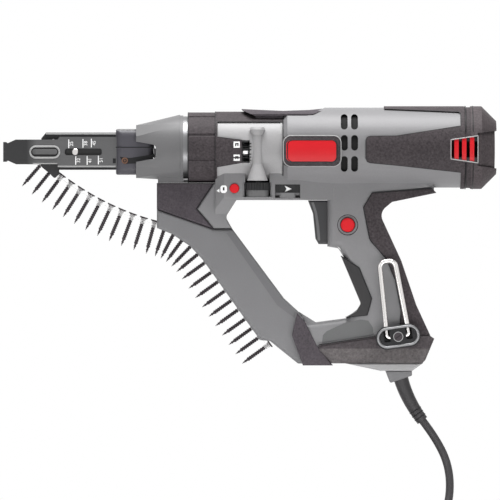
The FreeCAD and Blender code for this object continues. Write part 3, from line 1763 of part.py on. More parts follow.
wheel_low = bridge_z + P.wheel_rise
wheel_high = wheel_low + P.wheel_height
stem_top = bit_z + P.pointer_travel + 6.0
wheel_at = (-P.wheel_front, -P.wheel_side, 0)
wheel_body = turned(
    "wheel_body",
    [
        (wheel_low, 0),
        (wheel_low, P.wheel_radius - 2),
        (wheel_low + P.wheel_skirt, P.wheel_radius - 2),
        (wheel_low + P.wheel_skirt, P.wheel_radius),
        (wheel_high, P.wheel_radius),
        (wheel_high, P.stem_radius),
        (stem_top, P.stem_radius),
        (stem_top, 0),
    ],
    wheel_at,
    "z",
)
rib_cuts = []
for number in range(int(float(P.wheel_ribs))):
    spread = 2 * math.pi * number / float(P.wheel_ribs)
    rib_cuts.append(
        rod(
            f"rib_cut_{number}",
            wheel_low + P.wheel_skirt - 0.1,
            wheel_high + 0.1,
            0.7,
            (
                -P.wheel_front + P.wheel_radius * math.cos(spread),
                -P.wheel_side + P.wheel_radius * math.sin(spread),
                0,
            ),
            "z",
        )
    )
piece(cut("depth_wheel", wheel_body, *rib_cuts))
nut_block = box(
    "nut_block",
    (-P.wheel_front - P.nut_half, -P.wheel_side - P.nut_half, bit_z - P.nut_half),
    (-P.wheel_front + P.nut_half, -P.wheel_side + P.nut_half, bit_z + P.nut_half),
)
pointer_arm = box(
    "pointer_arm",
    (pointer_x - P.window_width / 2 + 1.2, -P.gear_radius + 0.6, bit_z - P.pointer_half),
    (-P.wheel_front - P.nut_half + 0.5, -P.wheel_side - P.nut_half + 2.5, bit_z + P.pointer_half),
)
stem_bore = rod("stem_bore", bridge_z, motor_z + 40, P.stem_radius + P.fit, wheel_at, "z")
arm_clear = box(
    "arm_clear",
    (pointer_x + P.window_width / 2 - P.gap, -60, bit_z - P.nut_half),
    (-P.wheel_front + P.nut_half, -P.gear_radius + P.gear_wall + 6, bit_z + P.nut_half),
)
piece(cut("depth_pointer", fuse("pointer_whole", nut_block, pointer_arm), stem_bore, arm_clear))

# Gear train: motor pinion, countershaft with its wheel and pinion, output gear on the spindle
mesh_motor = math.atan2(float(counter_z - motor_z), float(counter_y))
mesh_bit = math.atan2(float(bit_z - counter_z), -float(counter_y))
plate_front_x = x_joint - P.plate_depth
wheel_start = plate_front_x - 9.5
wheel_width = as_dim(7)
pinion_end = wheel_start - 0.6
output_start = web_rear + 4
output_width = as_dim(9)
pinion_gear = gear_solid(
    "pinion_gear", P.pinion_teeth, False, 0.4, pinion_end, plate_front_x - pinion_end, MOTOR, mesh_motor
)
motor_shaft = turned(
    "motor_shaft",
    [
        (plate_front_x - 0.5, 0),
        (plate_front_x - 0.5, P.shaft_radius - P.fit),
        (P.web_back + P.web_thick - 1, P.shaft_radius - P.fit),
        (P.web_back + P.web_thick - 1, 0),
    ],
    MOTOR,
)
piece(fuse("armature_shaft", pinion_gear, motor_shaft))
counter_wheel = gear_solid(
    "counter_wheel", P.wheel_teeth, True, -0.45, wheel_start, wheel_width, COUNTER, mesh_motor + math.pi
)
counter_pinion = gear_solid(
    "counter_pinion",
    P.counter_teeth,
    False,
    0.35,
    output_start - 1.5,
    output_width + 3,
    COUNTER,
    mesh_bit,
)
counter_bar = turned(
    "counter_bar",
    [
        (web_front + 0.5, 0),
        (web_front + 0.5, P.counter_radius - P.fit),
        (x_joint - 1, P.counter_radius - P.fit),
        (x_joint - 1, 0),
    ],
    COUNTER,
)
piece(fuse("countershaft", counter_bar, counter_wheel, counter_pinion))
output_wheel = gear_solid(
    "output_wheel", P.output_teeth, True, -0.4, output_start, output_width, BIT, mesh_bit + math.pi
)
output_bore = rod("output_bore", x_gear, x_joint, P.spindle_radius, BIT)
piece(cut("output_gear", output_wheel, output_bore))
spindle_rear = output_start + output_width + 1.5
holder_front = x_gear - 32
spindle_bar = turned(
    "spindle_bar",
    [
        (spindle_rear, 0),
        (spindle_rear, P.spindle_radius),
        (web_rear + 3, P.spindle_radius),
        (web_rear + 3, P.spindle_radius - P.fit),
        (x_gear - 2, P.spindle_radius - P.fit),
        (x_gear - 2, P.holder_radius),
        (holder_front + 1, P.holder_radius),
        (holder_front, P.holder_radius - 1),
        (holder_front, 0),
    ],
    BIT,
)
bit_front = x_nose + P.bit_tip
bit_back = x_gear - 10


def hex_bar(label, start, end, radius):
    """Hexagonal bar along the bit axis."""
    corners = [polar(float(radius), math.pi / 3 * number) for number in range(7)]
    bar = Part.Face(Part.makePolygon(corners)).extrude(Vector(float(end - start), 0, 0))
    return place(feature(label, bar), (start, 0, bit_z))


bit_socket = hex_bar("bit_socket", holder_front - 1, bit_back, P.bit_radius + P.fit)
piece(cut("spindle", spindle_bar, bit_socket))
bit_bar = hex_bar("bit_bar", bit_front + 8, bit_back, P.bit_radius)
bit_point = turned(
    "bit_point",
    [
        (bit_front, 0),
        (bit_front, 0.8),
        (bit_front + 4, 2.2),
        (bit_front + 8, P.bit_radius - 0.6),
        (bit_front + 9, P.bit_radius - 0.6),
        (bit_front + 9, 0),
    ],
    BIT,
)
piece(fuse("driver_bit", bit_bar, bit_point))
plate_disc = rod("plate_disc", plate_front_x, x_joint, P.gear_radius - P.gear_wall, MOTOR)
motor_seat = rod("motor_seat", plate_front_x - 1, x_joint + 1, P.bearing_radius, MOTOR)
counter_rear_seat = rod("counter_rear_seat", plate_front_x - 1, x_joint + 1, P.bush_radius, COUNTER)
piece(cut("bearing_plate", plate_disc, motor_seat, counter_rear_seat))
ball_bearings = doc.addObject("Part::Compound", "ball_bearings")
ball_bearings.Links = [
    rod("motor_front_bearing", x_joint - 5.5, x_joint - 0.5, P.bearing_radius, MOTOR, bore=P.shaft_radius),
    rod(
        "motor_rear_bearing",
        P.web_back + 1.5,
        P.web_back + 1.5 + P.bearing_width,
        P.bearing_radius,
        MOTOR,
        bore=P.shaft_radius,
    ),
    rod("spindle_front_bearing", x_gear, x_gear + 5, P.front_bearing_radius, BIT, bore=P.spindle_radius),
]
piece(ball_bearings)
bushes = doc.addObject("Part::Compound", "bushes")
bushes.Links = [
    rod("spindle_bush", web_front, web_rear, P.spindle_radius + 1.5, BIT, bore=P.spindle_radius),
    rod("counter_front_bush", web_front, web_rear, P.bush_radius, COUNTER, bore=P.counter_radius),
    rod("counter_rear_bush", plate_front_x, x_joint, P.bush_radius, COUNTER, bore=P.counter_radius),
]
piece(bushes)

# Motor
core_rear = P.core_length - P.core_front
core_ring = rod("core_ring", -P.core_front, core_rear, barrel_bore - P.core_inset, MOTOR)
core_seat = rod("core_seat", -P.core_front, core_rear, barrel_bore - 0.2, MOTOR)
core_ribs = [
    box(
        "core_rib_upright",
        (-P.core_front, -P.core_rib, motor_z - barrel_bore),
        (core_rear, P.core_rib, motor_z + barrel_bore),
    ),
    box(
        "core_rib_level",
        (-P.core_front, -barrel_bore, motor_z - P.core_rib),
        (core_rear, barrel_bore, motor_z + P.core_rib),
    ),
]
rib_cross = common("rib_cross", fuse("rib_boxes", *core_ribs), core_seat)
armature_bore = rod("armature_bore", -P.core_front - 1, core_rear + 1, armature_radius + P.air_gap, MOTOR)
window_radius = barrel_bore - P.core_inset - P.core_yoke
shoe_radius = armature_radius + P.pole_shoe
coil_windows = cut(
    "coil_windows",
    rod("window_ring", -P.core_front - 1, core_rear + 1, window_radius, MOTOR, bore=shoe_radius),
    box(
        "pole_keep",
        (-P.core_front - 2, -60, motor_z - P.pole_half),
        (core_rear + 2, 60, motor_z + P.pole_half),
    ),
)
piece(cut("field_core", fuse("core_body", core_ring, rib_cross), armature_bore, coil_windows))
coils = doc.addObject("Part::Compound", "field_coils")
coils.Links = [
    rod("coil_front", -P.core_front - 8, -P.core_front, fan_room - P.gap, MOTOR, bore=armature_radius + 2),
    rod("coil_rear", core_rear, core_rear + 8, fan_room - P.gap, MOTOR, bore=armature_radius + 2),
]
piece(coils)
piece(
    turned(
        "armature_core",
        [
            (-P.core_front - 6, P.shaft_radius - P.fit),
            (-P.core_front - 6, armature_radius - 5),
            (-P.core_front, armature_radius - 2),
            (-P.core_front, armature_radius),
            (core_rear, armature_radius),
            (core_rear, armature_radius - 2),
            (core_rear + 8, armature_radius - 6),
            (core_rear + 8, P.shaft_radius - P.fit),
        ],
        MOTOR,
    )
)
commutator_end = P.commutator_back + P.commutator_length
piece(
    rod(
        "commutator",
        P.commutator_back,
        commutator_end,
        P.commutator_radius,
        MOTOR,
        bore=P.shaft_radius - P.fit,
    )
)
fan_start = x_joint + 4
fan_hub = rod(
    "fan_hub", fan_start, fan_start + P.fan_width, P.shaft_radius + 5, MOTOR, bore=P.shaft_radius - P.fit
)
fan_disc = rod(
    "fan_disc",
    fan_start + P.fan_width - 2,
    fan_start + P.fan_width,
    fan_radius,
    MOTOR,
    bore=P.shaft_radius - P.fit,
)
fan_blades = []
for number in range(10):
    blade_size = (float(P.fan_width) - 1, float(fan_radius - P.shaft_radius) - 4.5, 1.2)
    blade = Part.makeBox(*blade_size, Vector(0, float(P.shaft_radius) + 4, -0.6))
    lean = Rotation(Vector(1, 0, 0), 36 * number)
    blade = blade.transformed(Placement(Vector(), lean).Matrix, True)
    fan_blades.append(place(feature(f"fan_blade_{number}", blade), (fan_start, 0, motor_z)))
piece(fuse("cooling_fan", fan_hub, fan_disc, *fan_blades))
brush_x = P.commutator_back + 3
holders = []
carbons = []
for side, name in ((1, "right"), (-1, "left")):
    tall = P.brush_width / 2
    inner, outer = P.commutator_radius + 1.5, barrel_bore - 0.5
    touch, tail = P.commutator_radius + 0.1, P.commutator_radius + 13
    y_holder = (inner, outer) if side > 0 else (-outer, -inner)
    y_carbon = (touch, tail) if side > 0 else (-tail, -touch)
    wall = P.holder_wall
    shell = box(
        f"holder_shell_{name}",
        (brush_x - wall, y_holder[0], motor_z - tall - wall),
        (brush_x + P.brush_width + 2 + wall, y_holder[1], motor_z + tall + wall),
    )
    room = box(
        f"holder_room_{name}",
        (brush_x, y_holder[0] - 1, motor_z - tall),
        (brush_x + P.brush_width + 2, y_holder[1] + 1, motor_z + tall),
    )
    holders.append(cut(f"holder_{name}", shell, room))
    carbons.append(
        box(
            f"carbon_{name}",
            (brush_x, y_carbon[0], motor_z - tall),
            (brush_x + P.brush_width + 2, y_carbon[1], motor_z + tall),
        )
    )
brush_holders = doc.addObject("Part::Compound", "brush_holders")
brush_holders.Links = holders
piece(brush_holders)
brushes = doc.addObject("Part::Compound", "brushes")
brushes.Links = [
    cut(f"brush_{number}", carbon, rod(f"brush_arc_{number}", 0, 60, P.commutator_radius + 0.1, MOTOR))
    for number, carbon in enumerate(carbons)
]
piece(brushes)

# Belt hook: wire bail on a plate at the foot of the grip; its ends are pins along the plate
tilt = math.radians(float(P.hook_tilt))
hook_way = Vector(math.cos(tilt), 0, math.sin(tilt))
hook_up = Vector(-math.sin(tilt), 0, math.cos(tilt))
hook_face = P.shoe_half
hook_y = -float(hook_face) - float(P.hook_plate_thick) / 2
hook_centre = Vector(float(P.hook_x), hook_y, -float(P.hook_z))
plate_half_length = float(P.hook_plate_length) / 2
plate_half_height = float(P.hook_plate_height) / 2
straight_half = plate_half_length - plate_half_height
corner_a = hook_centre + hook_way * straight_half
corner_b = hook_centre - hook_way * straight_half
rim = [
    Part.LineSegment(corner_b + hook_up * plate_half_height, corner_a + hook_up * plate_half_height),
    Part.Arc(
        corner_a + hook_up * plate_half_height,
        corner_a + hook_way * plate_half_height,
        corner_a - hook_up * plate_half_height,
    ),
    Part.LineSegment(corner_a - hook_up * plate_half_height, corner_b - hook_up * plate_half_height),
    Part.Arc(
        corner_b - hook_up * plate_half_height,
        corner_b - hook_way * plate_half_height,
        corner_b + hook_up * plate_half_height,
    ),
]
rim_wire = Part.Wire([edge.toShape() for edge in rim])
rim_wire.translate(Vector(0, -float(P.hook_plate_thick) / 2, 0))
hook_slab = Part.Face(rim_wire).extrude(Vector(0, float(P.hook_plate_thick), 0))
wire_radius = float(P.hook_wire_radius)
span_half = float(P.hook_span) / 2
pin_inner = 3.2
hook_cuts = [Part.makeCylinder(float(P.hook_bore), 40, hook_centre - Vector(0, 20, 0), Vector(0, 1, 0))]
for side in (-1, 1):
    foot = hook_centre + hook_way * (side * span_half)
    inner_end = hook_centre + hook_way * (side * (pin_inner - 0.2))
    hook_cuts.append(
        Part.makeCylinder(wire_radius + float(P.fit), span_half - pin_inner + 0.2, inner_end, hook_way * side)
    )
    room_half = wire_radius + 0.6
    room_radius = wire_radius + 1.4
    hook_cuts.append(Part.makeCylinder(room_radius, 2 * room_half, foot - hook_way * room_half, hook_way))
    slot = Part.makeBox(2 * room_half, 30, 30, Vector(-room_half, room_radius - 30, -room_radius))
    slot.Placement = Placement(foot, Rotation(Vector(1, 0, 0), hook_way))
    hook_cuts.append(slot)
piece(feature("hook_plate", hook_slab.cut(hook_cuts)))


def bent_wire(route, bends, radius):
    """Round wire along straight runs with a given bend radius at each corner."""
    edges = []
    here = route[0]
    for i, bend in enumerate(bends, start=1):
        back = (route[i - 1] - route[i]).normalize()
        ahead = (route[i + 1] - route[i]).normalize()
        half = (math.pi - back.getAngle(ahead)) / 2
        take = bend * math.tan(half)
        inward = (back + ahead).normalize()
        edges.append(Part.LineSegment(here, route[i] + back * take).toShape())
        middle = route[i] + inward * (bend / math.cos(half) - bend)
        edges.append(Part.Arc(route[i] + back * take, middle, route[i] + ahead * take).toShape())
        here = route[i] + ahead * take
    edges.append(Part.LineSegment(here, route[-1]).toShape())
    ring = Part.Wire(Part.Circle(route[0], route[1] - route[0], radius).toShape())
    return Part.Wire(edges).makePipeShell([ring], True, False)


top_middle = hook_centre + hook_up * float(P.hook_height) - hook_way * 0.6
HOOK_ROUTE = [
    hook_centre - hook_way * pin_inner,
    hook_centre - hook_way * span_half,
    top_middle - hook_way * float(P.hook_top_half),
    top_middle + hook_way * float(P.hook_top_half),
    hook_centre + hook_way * span_half,
    hook_centre + hook_way * pin_inner,
]
top_bend = float(P.hook_top_half) - 1
piece(feature("hook_wire", bent_wire(HOOK_ROUTE, (3.0, top_bend, top_bend, 3.0), wire_radius)))
hook_out = hook_face + P.hook_plate_thick
piece(
    turned(
        "hook_screw",
        [
            (-hook_out - 1.8, 0),
            (-hook_out - 1.8, P.hook_screw_radius - 0.8),
            (-hook_out - 1.0, P.hook_screw_radius),
            (-hook_out, P.hook_screw_radius),
            (-hook_out, P.hook_bore - P.fit),
            (-grip_inner - 0.5, P.hook_bore - P.fit),
            (-grip_inner - 0.5, 0),
        ],
        (P.hook_x, 0, -P.hook_z),
        "y",
    )
)

# Cord: gland under the foot, tapered boot, a hanging run, a flat coil of two layers and the plug
gland_top = -P.base_z - P.plate_thick
gland_form = prism(
    "gland_form",
    [
        (P.hook_x - 11.5, gland_top),
        (P.hook_x + 13, gland_top),
        (P.hook_x + 13, gland_top - 4.6, 1.5),
        (P.hook_x - 7, gland_top - P.gland_depth - 2.4, 1.5),
    ],
    -P.gland_half,
    P.gland_half,
    soft=1.5,
)
boot_start = Vector(float(P.hook_x + 1.9), 0, float(gland_top - 3))
boot_end = boot_start + Vector(20.9, 0, -43)
boot_way = Vector(0.22, 0, -0.975).normalize()
cord_way = Vector(0.607, 0, -0.795).normalize()
boot_path = Part.Wire(Part.__sortEdges__(biarc(boot_start, boot_way, boot_end, cord_way)))
boot_rings = [
    Part.Wire(Part.Circle(boot_start, boot_way, float(P.boot_radius)).toShape()),
    Part.Wire(Part.Circle(boot_end, cord_way, float(P.boot_end_radius)).toShape()),
]
boot = piece(feature("strain_relief", boot_path.makePipeShell(boot_rings, True, False)))
piece(cut("cord_gland", gland_form, boot))
cord_radius = float(P.cord_radius)
low_z = float(P.cord_radius - P.floor_drop)
coil_lead = 2 * cord_radius
coil_start = Vector(-float(P.coil_x), -float(P.coil_radius), low_z)
CORD_ROUTE = [
    boot_end,
    boot_end + cord_way * 23.9,
    Vector(boot_end.x + 25.5, 0, boot_end.z - 46),
    Vector(boot_end.x + 24.5, -11, boot_end.z - 77),
    Vector(boot_end.x + 11.5, -33, low_z + 10),
    Vector(boot_end.x - 19.5, -52, low_z),
    Vector(boot_end.x - 54.5, coil_start.y, low_z),
    coil_start + Vector(coil_lead, 0, 0),
]
cord_tube, cord_length = rounded_tube(CORD_ROUTE, cord_radius)
piece(feature("cord", cord_tube))


def coil_curve(t):
    """Centre line of the coil: inward on the floor, a climb on the inside, outward on top."""
    half_turns = float(P.coil_turns) / 2
    turns = 2 * half_turns * t
    away = turns - half_turns
    soft = 0.15
    pitch = float(P.coil_pitch)
    inner = float(P.coil_radius) - pitch * math.sqrt(half_turns**2 + soft**2)
    radius = inner + pitch * math.sqrt(away**2 + soft**2)
    share = min(1.0, max(0.0, away / 0.5 + 0.5))
    climb = share * share * (3 - 2 * share)
    angle = -math.pi / 2 - 2 * math.pi * turns
    x = -float(P.coil_x) + radius * math.cos(angle)
    return Vector(x, radius * math.sin(angle), low_z + pitch * climb)


coil_tail = 32.0
coil_steps = int(float(P.coil_turns) * 4)
coil_tube, coil_length = wound_tube(
    coil_curve, coil_steps, cord_radius, leads=(coil_lead, coil_tail), ends=Vector(-1, 0, 0)
)
piece(feature("cord_coil", coil_tube))
print(f"cord length {cord_length + coil_length:.0f} mm")
plug_at = (-P.coil_x - coil_tail, -P.coil_radius, -P.floor_drop + P.cord_radius + P.coil_pitch)
guard_length = as_dim(28)
plug_guard = turned(
    "plug_guard",
    [
        (-guard_length - 2, 0),
        (-guard_length - 2, 7.5),
        (0, P.cord_radius + 0.8),
        (0, 0),
    ],
    plug_at,
)
plug_back = plug_at[0] - guard_length
plug_front = plug_back - P.plug_length
plug_body = prism(
    "plug_body",
    [
        (plug_back, plug_at[2] - 8, 5),
        (plug_back, plug_at[2] + 8, 5),
        (plug_front, plug_at[2] + 9.5, 2),
        (plug_front, plug_at[2] - 9.5, 2),
    ],
    plug_at[1] - P.plug_half,
    plug_at[1] + P.plug_half,
    soft=2.0,
)
piece(fuse("plug", plug_guard, plug_body))
blades = doc.addObject("Part::Compound", "plug_blades")
blades.Links = [
    box(
        f"blade_{name}",
        (plug_front - P.blade_length, plug_at[1] + offset - 0.75, plug_at[2] - 3.2),
        (plug_front, plug_at[1] + offset + 0.75, plug_at[2] + 3.2),
    )
    for name, offset in (("near", -P.blade_spacing / 2), ("far", P.blade_spacing / 2))
]
piece(blades)

doc.recompute()
faults = []
for item in doc.Objects:
    if "Invalid" in item.State or "Error" in item.State:
        faults.append(f"{item.Label}: {item.State}")
for item in pieces:
    if item.Shape.isNull() or not item.Shape.isValid():
        faults.append(f"{item.Label}: shape is null or not valid")
for fault in faults:
    print(fault)
if faults:
    raise SystemExit(1)
os.makedirs("parts", exist_ok=True)
for item in pieces:
    item.Shape.exportStep(f"parts/{item.Label}.step")
    print(f"{item.Label}: {len(item.Shape.Solids)} solids, {item.Shape.Volume / 1000:.2f} cm3")
print(f"{len(pieces)} nodes")
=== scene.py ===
"""Looks of the auto-feed drywall screwdriver: finishes, screw strip, cord and fittings on its CAD frame."""

from __future__ import annotations

import json
import logging
import math
from collections.abc import Iterable, Sequence
from dataclasses import dataclass, field, replace
from enum import Enum

import bpy
from mathutils import Matrix, Vector

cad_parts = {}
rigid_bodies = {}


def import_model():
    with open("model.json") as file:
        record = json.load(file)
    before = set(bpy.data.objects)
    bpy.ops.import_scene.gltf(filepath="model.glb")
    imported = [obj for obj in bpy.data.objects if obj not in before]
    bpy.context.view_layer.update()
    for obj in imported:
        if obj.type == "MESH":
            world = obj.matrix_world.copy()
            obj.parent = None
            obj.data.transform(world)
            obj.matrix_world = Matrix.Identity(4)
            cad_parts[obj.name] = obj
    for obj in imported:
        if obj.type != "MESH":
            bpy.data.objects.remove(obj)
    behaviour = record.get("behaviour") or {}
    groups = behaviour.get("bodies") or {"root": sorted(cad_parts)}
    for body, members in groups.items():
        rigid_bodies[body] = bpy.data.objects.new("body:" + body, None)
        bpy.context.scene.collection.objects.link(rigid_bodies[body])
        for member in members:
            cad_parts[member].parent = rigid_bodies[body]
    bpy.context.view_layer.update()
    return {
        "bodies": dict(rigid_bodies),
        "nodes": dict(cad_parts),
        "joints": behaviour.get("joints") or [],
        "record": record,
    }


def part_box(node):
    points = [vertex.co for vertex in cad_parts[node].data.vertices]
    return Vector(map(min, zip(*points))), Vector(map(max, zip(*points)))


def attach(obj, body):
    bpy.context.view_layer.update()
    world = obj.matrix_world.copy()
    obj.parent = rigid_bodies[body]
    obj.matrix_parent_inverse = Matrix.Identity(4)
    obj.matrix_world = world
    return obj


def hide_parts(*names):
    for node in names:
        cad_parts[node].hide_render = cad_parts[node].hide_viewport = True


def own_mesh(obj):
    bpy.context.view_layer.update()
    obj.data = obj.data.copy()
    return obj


log = logging.getLogger("screwdriver")
MM = 0.001
WHITE = (1.0, 1.0, 1.0, 1.0)
Point = tuple[float, float, float]
Colour = tuple[float, float, float]
Corners = Sequence[tuple[float, float]]
Box = tuple[float, float, float, float]
Piece = bpy.types.Object


def at(x: float, y: float, z: float) -> Vector:
    """Point of the tool's frame from millimetres."""
    return Vector((x, y, z)) * MM


class Pattern(Enum):
    """What the surface of a finish shows close up."""

    MOULDED = "fine spark-eroded grain"
    PEBBLED = "coarse soft-touch pebbles"
    BRUSHED = "strokes along the tool"
    POLISHED = "faint smears"
    WOUND = "strands round the motor"
    STACKED = "thin sheets along the motor"


STRETCH: dict[Pattern, Point] = {
    Pattern.BRUSHED: (0.04, 1.0, 1.0),
    Pattern.STACKED: (1.0, 0.02, 0.02),
    Pattern.WOUND: (1.0, 0.15, 0.15),
}


class Value:
    """A shader socket that takes part in Python arithmetic."""

    def __init__(self, graph: Graph, socket: bpy.types.NodeSocket | None) -> None:
        """Keep the socket with the graph that makes its nodes."""
        self.graph = graph
        self.socket = socket

    def _math(self, operation: str, first: object, second: object) -> Value:
        """Add a Math node.

        Args:
            operation: Blender's name of the operation.
            first: the left value or number.
            second: the right value or number.

        Returns:
            The node's result.
        """
        return self.graph.node("ShaderNodeMath", {"operation": operation}, {0: first, 1: second})

    def __add__(self, other: object) -> Value:
        """Sum."""
        return self._math("ADD", self, other)

    __radd__ = __add__

    def __sub__(self, other: object) -> Value:
        """Difference."""
        return self._math("SUBTRACT", self, other)

    def __rsub__(self, other: object) -> Value:
        """Difference from a number."""
        return self._math("SUBTRACT", other, self)

    def __mul__(self, other: object) -> Value:
        """Product."""
        return self._math("MULTIPLY", self, other)

    __rmul__ = __mul__

    def most(self, other: object) -> Value:
        """The larger of two values."""
        return self._math("MAXIMUM", self, other)


class Graph:
    """Node tree of one material or world."""

    def __init__(self, tree: bpy.types.NodeTree) -> None:
        """Empty the tree."""
        self.tree = tree
        tree.nodes.clear()

    def node(
        self, kind: str, settings: dict | None = None, inputs: dict | None = None, out: object = 0
    ) -> Value:
        """Add a node.

        Args:
            kind: Blender's node type.
            settings: attributes that are set first.
            inputs: socket name or index to a value, number or colour.
            out: the output socket that is wanted.

        Returns:
            The output socket as a value.
        """
        made = self.tree.nodes.new(kind)
        for name, setting in (settings or {}).items():
            setattr(made, name, setting)
        for name, given in (inputs or {}).items():
            if isinstance(given, Value):
                self.tree.links.new(given.socket, made.inputs[name])
            else:
                made.inputs[name].default_value = given
        return Value(self, made.outputs[out]) if made.outputs else Value(self, None)


@dataclass(frozen=True)
class Finish:
    """A surface finish with its colour and close-up pattern.

    Args:
        name: the material's name.
        colour: linear base colour.
        pattern: what shows close up.
        roughness: mean roughness.
        metallic: 0 for plastic and rubber, up to 1 for bare metal.
        grain_mm: size of the pattern.
        relief_mm: depth of the pattern.
        mottle: share of the colour that varies.
        alpha: 1 where nothing shows through.
        gloss: strength of the highlights, 0.5 for most plastics.
    """

    name: str
    colour: Colour
    pattern: Pattern = Pattern.MOULDED
    roughness: float = 0.5
    metallic: float = 0.0
    grain_mm: float = 0.7
    relief_mm: float = 0.03
    mottle: float = 0.10
    alpha: float = 1.0
    gloss: float = 0.4

    def shade(self, share: float) -> tuple[float, float, float, float]:
        """Base colour made lighter or darker by a share."""
        red, green, blue = (min(1.0, max(0.0, part * share)) for part in self.colour)
        return (red, green, blue, 1.0)

    def stretch(self) -> Point:
        """Scale of the pattern along the three axes."""
        fine = 1.0 / (self.grain_mm * MM)
        along, across, up = STRETCH.get(self.pattern, (1.0, 1.0, 1.0))
        return (fine * along, fine * across, fine * up)

    def pattern_value(self, graph: Graph, place: Value) -> Value:
        """Close-up pattern from 0 to 1.

        Args:
            graph: the material's nodes.
            place: object coordinates.

        Returns:
            The pattern.
        """
        scaled = graph.node("ShaderNodeMapping", {}, {"Vector": place, "Scale": self.stretch()})
        if self.pattern is Pattern.PEBBLED:
            cells = graph.node("ShaderNodeTexVoronoi", {}, {"Vector": scaled, "Scale": 1.0}, "Distance")
            soft = {"Vector": scaled, "Scale": 0.7, "Detail": 2.0}
            grit = graph.node("ShaderNodeTexNoise", {}, soft, "Fac")
            return cells * 0.5 + grit * 1.6 - 0.55
        return graph.node("ShaderNodeTexNoise", {}, {"Vector": scaled, "Scale": 1.0, "Detail": 3.0}, "Fac")

    def tint(self, graph: Graph, place: Value, share: Value) -> Value:
        """Base colour over the surface.

        Args:
            graph: the material's nodes.
            place: object coordinates.
            share: 0 for the darkest tone and 1 for the lightest.

        Returns:
            The colour.
        """
        dark, light = self.shade(1.0 - self.mottle), self.shade(1.0 + self.mottle)
        return graph.node("ShaderNodeMix", {"data_type": "RGBA"}, {0: share, 6: dark, 7: light}, 2)

    def material(self) -> bpy.types.Material:
        """The finish as a material, made once.

        Returns:
            The material.
        """
        label = f"{self.name}_surface"
        found = bpy.data.materials.get(label)
        if found:
            return found
        made = bpy.data.materials.new(label)
        made.use_nodes = True
        graph = Graph(made.node_tree)
        place = graph.node("ShaderNodeTexCoord", {}, {}, "Object")
        close = self.pattern_value(graph, place)
        cloud = graph.node("ShaderNodeTexNoise", {}, {"Vector": place, "Scale": 38.0, "Detail": 4.0}, "Fac")
        colour = self.tint(graph, place, close * 0.7 + cloud * 0.6 - 0.15)
        rough = close * 0.10 + cloud * 0.12 + (self.roughness - 0.11)
        relief = {"Height": close, "Distance": self.relief_mm * MM, "Strength": 1.0}
        bump = graph.node("ShaderNodeBump", {}, relief, "Normal")
        inputs = {
            "Base Color": colour,
            "Roughness": rough,
            "Metallic": self.metallic,
            "Normal": bump,
            "Alpha": self.alpha,
            "Specular IOR Level": self.gloss,
        }
        shader = graph.node("ShaderNodeBsdfPrincipled", {}, inputs, "BSDF")
        graph.node("ShaderNodeOutputMaterial", {}, {"Surface": shader})
        return made


@dataclass(frozen=True)
class TwoTone(Finish):
    """A finish that takes a second colour below a limit along an axis.

    Args:
        below: colour under the limit.
        limit_mm: place of the change.
        soft_mm: length over which the colour changes.
        along: the axis.
    """

    below: Colour = (0.2, 0.2, 0.2)
    limit_mm: float = 0.0
    soft_mm: float = 0.2
    along: str = "Z"

    def tint(self, graph: Graph, place: Value, share: Value) -> Value:
        """Base colour, changed below the limit; see Finish.tint."""
        above = super().tint(graph, place, share)
        under = Finish(self.name, self.below, mottle=self.mottle).tint(graph, place, share)
        spot = graph.node("ShaderNodeSeparateXYZ", {}, {0: place}, self.along)
        passed = ((self.limit_mm + self.soft_mm / 2) * MM - spot) * (1.0 / (self.soft_mm * MM))
        return graph.node("ShaderNodeMix", {"data_type": "RGBA"}, {0: passed, 6: above, 7: under}, 2)


CASING = Finish("casing_grey", (0.174, 0.172, 0.177), roughness=0.44, grain_mm=1.4, relief_mm=0.02)
MAGAZINE = replace(CASING, name="magazine_grey", colour=(0.142, 0.141, 0.146))
FRONT = replace(CASING, name="front_grey", colour=(0.115, 0.114, 0.117), roughness=0.46)
GEAR_CASE = replace(CASING, name="gear_case_grey", colour=(0.285, 0.281, 0.285), roughness=0.38)
# Darker grey painted as shade on the foot's side, where the face turns from the light
PAINTED_SHADE = replace(CASING, name="casing_painted_shade", colour=(0.094, 0.095, 0.096))
# Darker grey painted as shade on the bevel along the magazine arm's edge
ARM_EDGE_SHADE = replace(CASING, name="arm_edge_painted_shade", colour=(0.110, 0.109, 0.113))
RUBBER = Finish(
    "rubber", (0.044, 0.037, 0.040), Pattern.PEBBLED, 0.60, grain_mm=1.5, relief_mm=0.22, mottle=0.6,
    gloss=0.15,
)
CAP = replace(
    RUBBER, name="cap_rubber", colour=(0.058, 0.048, 0.051), roughness=0.58, relief_mm=0.18, mottle=0.5
)
PANEL = replace(
    RUBBER, name="panel_dark", colour=(0.058, 0.050, 0.057), grain_mm=1.3, relief_mm=0.10, mottle=0.45
)
SHOE = TwoTone(
    "shoe_rubber", (0.052, 0.045, 0.048), Pattern.PEBBLED, 0.60, grain_mm=1.5, relief_mm=0.22, mottle=0.5,
    gloss=0.15, below=(0.088, 0.080, 0.081), limit_mm=-80.7,
)
INSERT = Finish(
    "insert_dark", (0.030, 0.029, 0.030), roughness=0.42, grain_mm=0.8, relief_mm=0.02, mottle=0.2, gloss=0.2
)
BLACK = replace(
    INSERT, name="black_plastic", colour=(0.008, 0.008, 0.009), grain_mm=0.5, relief_mm=0.01, gloss=0.25
)
# Near-black painted as shade inside vents and grilles
SHADOW_BLACK = Finish("shadow_black", (0.003, 0.003, 0.003), roughness=0.9, grain_mm=0.8, relief_mm=0.01, mottle=0.2)
TRIGGER = Finish(
    "trigger_dark", (0.044, 0.044, 0.046), roughness=0.36, grain_mm=0.8, relief_mm=0.01, gloss=0.25
)
# Lighter grey painted as a highlight on the trigger's side
TRIGGER_SHINE = replace(TRIGGER, name="trigger_painted_highlight", colour=(0.115, 0.115, 0.118), gloss=0.4)
# Slide body; near-black in front of the limit, painted as the shade seen through the nosepiece's slot
SLIDE = TwoTone(
    "slide_dark", (0.058, 0.056, 0.066), roughness=0.40, grain_mm=0.8, relief_mm=0.01, gloss=0.3,
    below=(0.022, 0.022, 0.023), limit_mm=-237.0, along="X",
)
